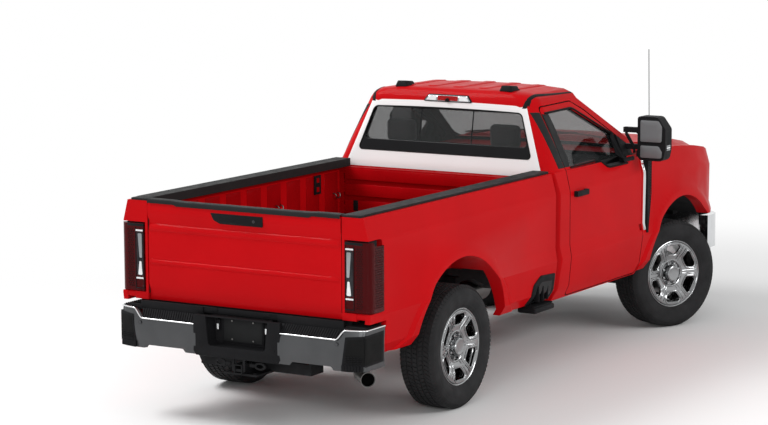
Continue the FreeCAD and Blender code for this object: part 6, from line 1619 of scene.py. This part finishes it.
# Cabin: bench seat with its head restraints, gauges, screen and vents
def pad_block(name, low, high, crown, faces, channels=(), lean=0.0, round_by=0.045):
    """A stuffed block: rounded, crowned on its broad faces, pulled in along its sewn channels."""
    size = [b - a for a, b in zip(low, high)]
    centre = Vector([(a + b) / 2 for a, b in zip(low, high)])
    bm = rounded_block(size, min(round_by, min(size) * 0.42), 4)
    for axis, length in enumerate(size):
        slice_along(bm, axis, -length / 2, length / 2, max(2, int(length / 0.022)))
    bm.normal_update()
    moves = []
    for vert in bm.verts:
        share = [2 * vert.co[i] / size[i] for i in range(3)]
        push = Vector((0, 0, 0))
        for axis in faces:
            others = [i for i in range(3) if i != axis]
            level = (1 - share[others[0]] ** 4) * (1 - share[others[1]] ** 4)
            fall = crown * (1 - max(0.0, level)) * min(1.0, abs(share[axis]) ** 2)
            push[axis] -= math.copysign(1, vert.co[axis]) * fall
        main = faces[0]
        for along, place in channels:
            gap = (vert.co[along] - place) / 0.011
            if abs(share[main]) > 0.5:
                push[main] -= math.copysign(1, vert.co[main]) * 0.013 * math.exp(-gap * gap)
        moves.append(push)
    for vert, push in zip(bm.verts, moves):
        vert.co += push
        vert.co.x -= vert.co.z * lean
        vert.co += centre
    pad = settle(name, bm, CLOTH, "chassis", sharp=70.0)
    return pad


SEAT_Y = 0.450


def build_seats():
    """Three-part bench: cushions, backs and head restraints on posts."""
    parts = (("left", 0.232, 0.686), ("centre", -0.226, 0.226), ("right", -0.686, -0.232))
    first = None
    for name, y0, y1 in parts:
        middle = (y1 - y0) / 4
        seat = pad_block("seat_cushion_" + name, (0.085, y0, 0.905), (0.558, y1, 1.082), 0.016, (2, 1),
                         ((1, -middle), (1, middle), (0, 0.10)))
        first = first or seat
        pad_block("seat_back_" + name, (-0.030, y0, 1.060), (0.112, y1, 1.596), 0.014, (0, 1),
                  ((1, -middle), (1, middle), (2, 0.14)), 0.10)
    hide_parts("seats")
    for name, y in (("left", SEAT_Y), ("right", -SEAT_Y)):
        pad_block("head_restraint_" + name, (-0.070, y - 0.122, 1.622), (0.020, y + 0.122, 1.796), 0.010,
            (0,), (), 0.04, 0.040)
    bm = bmesh.new()
    for y in (SEAT_Y, -SEAT_Y):
        for off in (-0.055, 0.055):
            add_rod(bm, (-0.022, y + off, 1.560), (-0.028, y + off, 1.665), 0.0062, 14)
    settle("head_restraint_posts", bm, CHROME, "chassis", sharp=40.0)
    bm = bmesh.new()
    add_box(bm, (0.080, -0.680, 0.800), (0.530, 0.680, 0.912), 0.012, 3)
    for side in (1, -1):
        side_box(bm, side, (0.060, 0.684, 0.840), (0.500, 0.668, 0.960), 0.006, 3)
    settle("seat_base", bm, CABIN, "chassis", sharp=40.0)
    build_dash()


def build_dash():
    """Gauge binnacle, centre screen, vents, buttons and knobs."""
    bm = bmesh.new()
    x = surface_at(["dashboard"], *REAR, (0, 0.05, 1.36), -0.3) - 0.001
    hood = rounded_outline([(0.300, 1.330, 0.020), (0.600, 1.330, 0.020), (0.585, 1.455, 0.040),
        (0.315, 1.455, 0.040)], 6)
    add_outline(bm, hood, rear_lift(x - 0.020), (0.050, 0, 0), 0.004, 2)
    smaller = [(0.45 + (y - 0.45) * 0.90, 1.392 + (z - 1.392) * 0.84) for y, z in hood]
    add_outline(bm, smaller, rear_lift(x - 0.0225), (0.004, 0, 0), 0.001, 2, mat=1)
    for y in (0.378, 0.522):
        for r, mat in ((0.046, 2), (0.041, 1)):
            back = x - (0.0258 if mat == 1 else 0.0250)
            add_rod(bm, (back, y, 1.390), (x - 0.018, y, 1.390), r, 36, mat=mat)
        for k in range(13):
            a = math.radians(-30 + 20 * k)
            mark = [(x - 0.0264, y - math.cos(a) * r, 1.390 + math.sin(a) * r) for r in (0.033, 0.038)]
            add_rod(bm, *mark, 0.0007, 5, mat=3)
        add_rod(bm, (x - 0.0270, y, 1.390), (x - 0.0270, y + 0.022, 1.408), 0.0012, 6, mat=4)
    add_box(bm, (x - 0.0262, 0.428, 1.366), (x - 0.020, 0.472, 1.420), 0.002, 2, mat=3)
    add_box(bm, (x - 0.018, -0.150, 1.262), (x + 0.010, 0.150, 1.425), 0.008, 3)
    add_box(bm, (x - 0.0195, -0.138, 1.272), (x - 0.015, 0.138, 1.414), 0.002, 2, mat=1)
    for k in range(6):
        add_box(bm, (x - 0.010, -0.135 + 0.046 * k, 1.215), (x + 0.006, -0.097 + 0.046 * k, 1.240),
            0.003, 2, mat=1)
    for y in (-0.110, 0.110):
        add_rod(bm, (x - 0.020, y, 1.180), (x + 0.004, y, 1.180), 0.020, 24, mat=2)
        add_rod(bm, (x - 0.022, y, 1.180), (x - 0.019, y, 1.180), 0.016, 24)
    for y in (-0.650, -0.230, 0.235, 0.680):
        add_box(bm, (x - 0.008, y - 0.045, 1.350), (x + 0.010, y + 0.045, 1.420), 0.008, 3, mat=1)
        for k in range(4):
            add_box(bm, (x - 0.0095, y - 0.038, 1.358 + 0.015 * k),
                (x - 0.006, y + 0.038, 1.366 + 0.015 * k), 0.001, 1)
    add_box(bm, (x - 0.003, -0.560, 1.130), (x + 0.004, -0.260, 1.290), 0.008, 3)
    settle("dash_fittings", bm, [CABIN, GLOSS_BLACK, SHADE_CHROME, LAMP_WHITE, BRIGHT_RED], "chassis",
        sharp=40.0)


# Box: pressed ribs, lashing plates, hooks and the front wall's bands
BED_WALL_Y = 0.8505


def build_box_inside():
    """Pressed wall ribs, lashing plates and hooks, and the floor's bolts."""
    bm = bmesh.new()
    for side in (1, -1):
        for k in range(9):
            x = -2.600 + 0.262 * k
            low, high = sorted((side * BED_WALL_Y, side * 0.8474))
            z0 = 1.215 if -2.15 < x < -1.15 else 0.950
            add_box(bm, (x, low, z0), (x + 0.180, high, 1.395), 0.0040, 2)
        side_box(bm, side, (-2.700, BED_WALL_Y, 1.405), (-0.300, 0.8440, 1.428), 0.003, 2)
    for z0, z1 in ((1.340, 1.425), (1.215, 1.305), (1.095, 1.180), (0.970, 1.060)):
        add_box(bm, (-0.2985, -0.800, z0), (-0.2900, 0.800, z1), 0.0038, 2)
    settle("box_wall_ribs", bm, BED_RED, "chassis", sharp=50.0)
    bm = bmesh.new()
    for side in (1, -1):
        for x in (-0.620, -2.300):
            side_box(bm, side, (x - 0.045, 0.8440, 1.255), (x + 0.045, 0.8360, 1.400), 0.004, 2)
            for z in (1.292, 1.362):
                side_box(bm, side, (x - 0.018, 0.8362, z - 0.018), (x + 0.018, 0.8352, z + 0.018),
                    0.0004, 1, mat=1)
        x = -0.3000
        add_box(bm, (x - 0.006, side * 0.700 - 0.020, 1.100),
            (x + 0.004, side * 0.700 + 0.020, 1.180), 0.003, 2)
    settle("lashing_plates", bm, [BLACK, BED_RED], "chassis", sharp=45.0)
    for side, name in SIDES:
        for i, middle in enumerate((-0.36, -1.15, -1.95, -2.55)):
            hook = (
                (-0.030, 0.8485, 1.235), (-0.030, 0.822, 1.235), (-0.026, 0.818, 1.200),
                (0.026, 0.818, 1.200), (0.030, 0.822, 1.235), (0.030, 0.8485, 1.235))
            bent_bar("lashing_hook_%s_%d" % (name, i + 1), [
                (middle + x, side * y, z) for x, y, z in hook], 0.0045, STEEL)
    bm = bmesh.new()
    for k in range(10):
        y = -0.735 + 0.163 * k
        if k in (1, 8):
            add_rod(bm, (-0.330, y, 0.9325), (-0.330, y, 0.9375), 0.010, 16)
        add_rod(bm, (-2.740, y, 0.9320), (-2.740, y, 0.9365), 0.0085, 6)
    settle("box_floor_bolts", bm, STEEL, "chassis", sharp=40.0)


def build_corner_posts():
    """Fillers at the box's rear corners, the fuel flap, and the tailgate's sill shield and creases."""
    for name, finish, slot, low, high, rounding in (
            ("corner_caps", CAP_BLACK, "black_plastic",
             (-2.8480, 0.7780, 1.470), (-2.7700, 0.9180, 1.4935), 0.006),
            ("lamp_sills", RED, "red_paint",
             (-2.8500, 0.8050, 0.8080), (-2.7000, 0.9880, 0.8530), 0.012),
            ("lamp_housings", BLACK, "black_plastic",
             (-2.8380, 0.8080, 0.8600), (-2.7200, 0.9700, 1.3260), 0.010)):
        bm = bmesh.new()
        for side in (1, -1):
            side_box(bm, side, low, high, rounding, 3)
        settle(name, bm, finish, "chassis", sharp=45.0)
    bm = bmesh.new()
    flap = rounded_box((-1.010, 1.120), (-0.850, 1.285), 0.020, 6)
    trim_plate(bm, flap, ["box_sides"], ACROSS, 1, 0.0022, 0.003, 0.04, 0)
    rim = [(-0.93 + (x + 0.93) * 1.045, 1.2025 + (z - 1.2025) * 1.045) for x, z in flap]
    trim_plate(bm, rim, ["box_sides"], ACROSS, 1, 0.0006, 0.001, 0.04, 1)
    settle("fuel_flap", bm, [RED, RUBBER], "chassis", sharp=45.0)
    bm = bmesh.new()
    add_box(bm, (-2.8150, -0.770, 0.735), (-2.8000, 0.770, 0.812), 0.003, 2)
    settle("gate_sill_shield", bm, BLACK, "chassis", sharp=45.0)
    bm = bmesh.new()
    for z0, z1, tall in ((1.272, 1.326, 0.0105), (1.044, 1.080, 0.0080)):
        band = [(-0.765, z0), (0.765, z0), (0.765, z1), (-0.765, z1)]
        trim_plate(bm, band, ["tailgate"], *REAR, tall, (z1 - z0) * 0.46, 0.08)
    settle("gate_creases", bm, RED, "tailgate", sharp=60.0)


# Front: grille, headlamps, bumper fittings, tow hooks and wipers
def build_front():
    """Grille, headlamps' insides, fog lamps, plates, tow hooks and wipers."""
    bm = bmesh.new()
    outer, inner = paired_loops(
        [(-0.606, 0.886, 0.030), (0.606, 0.886, 0.030), (0.606, 1.252, 0.020), (-0.606, 1.252, 0.020)],
        [(-0.560, 0.926, 0.022), (0.560, 0.926, 0.022), (0.560, 1.214, 0.014), (-0.560, 1.214, 0.014)])
    frame_plate(bm, outer, inner, 2.7710, 0.020)
    for z in (1.015, 1.125):
        add_box(bm, (2.7300, -0.556, z - 0.024), (2.7705, 0.556, z + 0.024), 0.010, 3)
    settle("grille_bars", bm, CHROME, "chassis", sharp=40.0)
    bm = bmesh.new()
    for k in range(53):
        y = -0.546 + 0.021 * k
        add_box(bm, (2.7380, y - 0.0035, 0.920), (2.7500, y + 0.0035, 1.220), 0.001, 1)
    for k in range(12):
        z = 0.936 + 0.024 * k
        add_box(bm, (2.7400, -0.560, z - 0.003), (2.7520, 0.560, z + 0.003), 0.001, 1)
    settle("grille_mesh", bm, BLACK, "chassis", sharp=40.0)
    bm = bmesh.new()
    for side in (1, -1):
        bar = [(0.632, 1.225), (0.775, 1.225), (0.790, 1.210), (0.790, 1.000), (0.775, 0.985), (0.632, 0.985),
               (0.632, 1.005), (0.762, 1.005), (0.768, 1.012), (0.768, 1.198), (0.762, 1.205), (0.632, 1.205)]
        trim_plate(bm, on_side(side, bar), ["headlamps"], *FRONT, 0.0060, 0.004, 0.03, 0)
        for z in (1.055, 1.150):
            module = rounded_box((0.640, z - 0.036), (0.742, z + 0.036), 0.012, 5)
            trim_plate(bm, on_side(side, module), ["headlamps"], *FRONT, 0.0055, 0.006, 0.03, 1)
            small = rounded_box((0.652, z - 0.024), (0.730, z + 0.024), 0.010, 5)
            trim_plate(bm, on_side(side, small), ["headlamps"], *FRONT, 0.0078, 0.005, 0.03, 0)
    settle("headlamp_inside", bm, [LAMP_WHITE, SHADE_CHROME], "chassis", sharp=40.0)
    bm = bmesh.new()
    for side in (1, -1):
        fog = rounded_outline([(0.560, 0.560, 0.014), (0.720, 0.560, 0.014), (0.740, 0.680, 0.018),
            (0.560, 0.680, 0.014)], 5)
        trim_plate(bm, on_side(side, fog), ["front_bumper"], *FRONT, 0.0035, 0.004, 0.04, 0)
        lens = rounded_outline([(0.590, 0.585, 0.012), (0.690, 0.585, 0.012), (0.698, 0.655, 0.014),
            (0.590, 0.655, 0.012)], 5)
        trim_plate(bm, on_side(side, lens), ["front_bumper"], *FRONT, 0.0060, 0.004, 0.04, 1)
    valance = [(-0.500, 0.470), (0.500, 0.470), (0.500, 0.545), (-0.500, 0.545)]
    trim_plate(bm, valance, ["front_bumper"], *FRONT, 0.0030, 0.004, 0.06, 0)
    blank = rounded_box((-0.155, 0.690), (0.155, 0.815), 0.008, 4)
    trim_plate(bm, blank, ["front_bumper"], *FRONT, -0.0002, 0.004, 0.06, 0)
    settle("front_bumper_fittings", bm, [BLACK, LAMP_WHITE], "chassis", sharp=40.0)
    for side, name in SIDES:
        hook = (
            (2.800, 0.330, 0.500), (2.915, 0.330, 0.500), (2.930, 0.330, 0.470),
            (2.930, 0.370, 0.455), (2.915, 0.400, 0.470), (2.800, 0.400, 0.500))
        bent_bar("tow_hook_" + name, [(x, side * y, z) for x, y, z in hook], 0.011, CAST)
    bm = bmesh.new()
    for y0, y1 in ((0.70, 0.10), (-0.02, -0.62)):
        blade = line_on([(1.405, y0), (1.400, y1)], ["cab_glass"], *TOP, 0.010, 0.05)
        add_tube(bm, blade, 0.0060, 8)
        arm = line_on([(1.470, y0 - 0.02), (1.405, (y0 + y1) / 2)], ["cab_glass"], *TOP, 0.018, 0.05)
        add_tube(bm, arm, 0.0070, 8)
    settle("wipers", bm, BLACK, "chassis", sharp=60.0)


def frame_plate(bm, outer, inner, x, depth):
    """An upright frame between two loops, facing forwards."""
    steps = ((0.0, depth), (0.06, 0.002), (0.2, 0.0), (0.8, 0.0), (0.94, 0.002), (1.0, depth))
    add_frame(bm, outer, inner, steps, lambda y, z, back: (x - back, y, z))


# Below: the hitch
def build_hitch():
    """Chain eyes, rim of the receiver's socket and plug socket."""
    bm = bmesh.new()
    for side in (1, -1):
        ring = on_side(side, oval_loop((0.160, 0.436), (0.045, 0.026), 28))
        hole = on_side(side, oval_loop((0.160, 0.436), (0.028, 0.013), 28))
        frame_plate(bm, ring, hole, -2.8850, 0.014)
        side_box(bm, side, (-2.8990, 0.115, 0.424), (-2.8870, 0.075, 0.448), 0.004, 2)
    outer, inner = paired_loops(
        [(-0.052, 0.388, 0.010), (0.052, 0.388, 0.010), (0.052, 0.492, 0.010), (-0.052, 0.492, 0.010)],
        [(-0.034, 0.406, 0.005), (0.034, 0.406, 0.005), (0.034, 0.474, 0.005), (-0.034, 0.474, 0.005)])
    frame_plate(bm, outer, inner, -2.9040, 0.012)
    add_box(bm, (-2.8900, -0.330, 0.515), (-2.8600, -0.240, 0.585), 0.008, 3)
    add_rod(bm, (-2.8980, -0.285, 0.550), (-2.8880, -0.285, 0.550), 0.026, 24)
    settle("hitch_fittings", bm, FRAME_BLACK, "chassis", sharp=40.0)


# Which finish each CAD node takes
FINISH = {
    RED: "fenders hood tailgate box_sides",
    CAB_RED: "cab_shell",
    DOOR_RED: "door_left door_right",
    BED_RED: "box_floor box_front_wall",
    CAP_BLACK: "rail_caps tailgate_trim",
    BLACK: "box_steps cowl fender_vents wheelhouse_liners mirror_left mirror_right door_trim_left"
    " door_trim_right bumper_steps antenna fuel_tank",
    CABIN: "dashboard",
    CLOTH: "seats",
    GLASS: "cab_glass door_glass_left door_glass_right",
    DARK_LENS: "headlamps",
    FRAME_BLACK: "driveline frame front_axle front_suspension hitch_receiver rear_axle rear_suspension"
    " knuckle_left knuckle_right tie_rod radiator",
    CAST: "engine",
    STEEL: "exhaust",
    CHROME: "front_bumper",
    BUMPER_GREY: "rear_bumper",
    SMOKED_RED: "tail_lamps",
    GLOSS_BLACK: "roof_lamps grille",
    TYRE: "spare_wheel tyre_front_left tyre_front_right tyre_rear_left tyre_rear_right",
    SHADED_WHEEL_CHROME: "wheel_front_left wheel_front_right wheel_rear_left wheel_rear_right",
}


def soften(node, angle=28.0):
    """Smooth shading on a CAD piece's curved faces, crisp at its edges."""
    piece = NODES[node]
    weld = piece.modifiers.new("weld", "WELD")
    weld.merge_threshold = 0.00002
    split = piece.modifiers.new("edges", "EDGE_SPLIT")
    split.split_angle = math.radians(angle)
    piece.data.polygons.foreach_set("use_smooth", [True] * len(piece.data.polygons))


def dress_cad():
    """Gives every CAD node its finish and its shading."""
    for material, names in FINISH.items():
        for node in names.split():
            slots = NODES[node].data.materials
            slots.clear()
            slots.append(material)
            soften(node)


def build():
    """The whole picture: studio, finishes and every piece of trim."""
    aim_camera()
    build_studio()
    dress_cad()
    build_wheels()
    build_bumper()
    build_tail_lamps()
    build_gate_fittings()
    build_rear_panel()
    build_roof()
    build_door_trim()
    build_mirrors()
    build_vents()
    build_box_steps()
    build_seats()
    build_box_inside()
    build_corner_posts()
    build_front()
    build_hitch()
    build_pipe_mouth()


build()
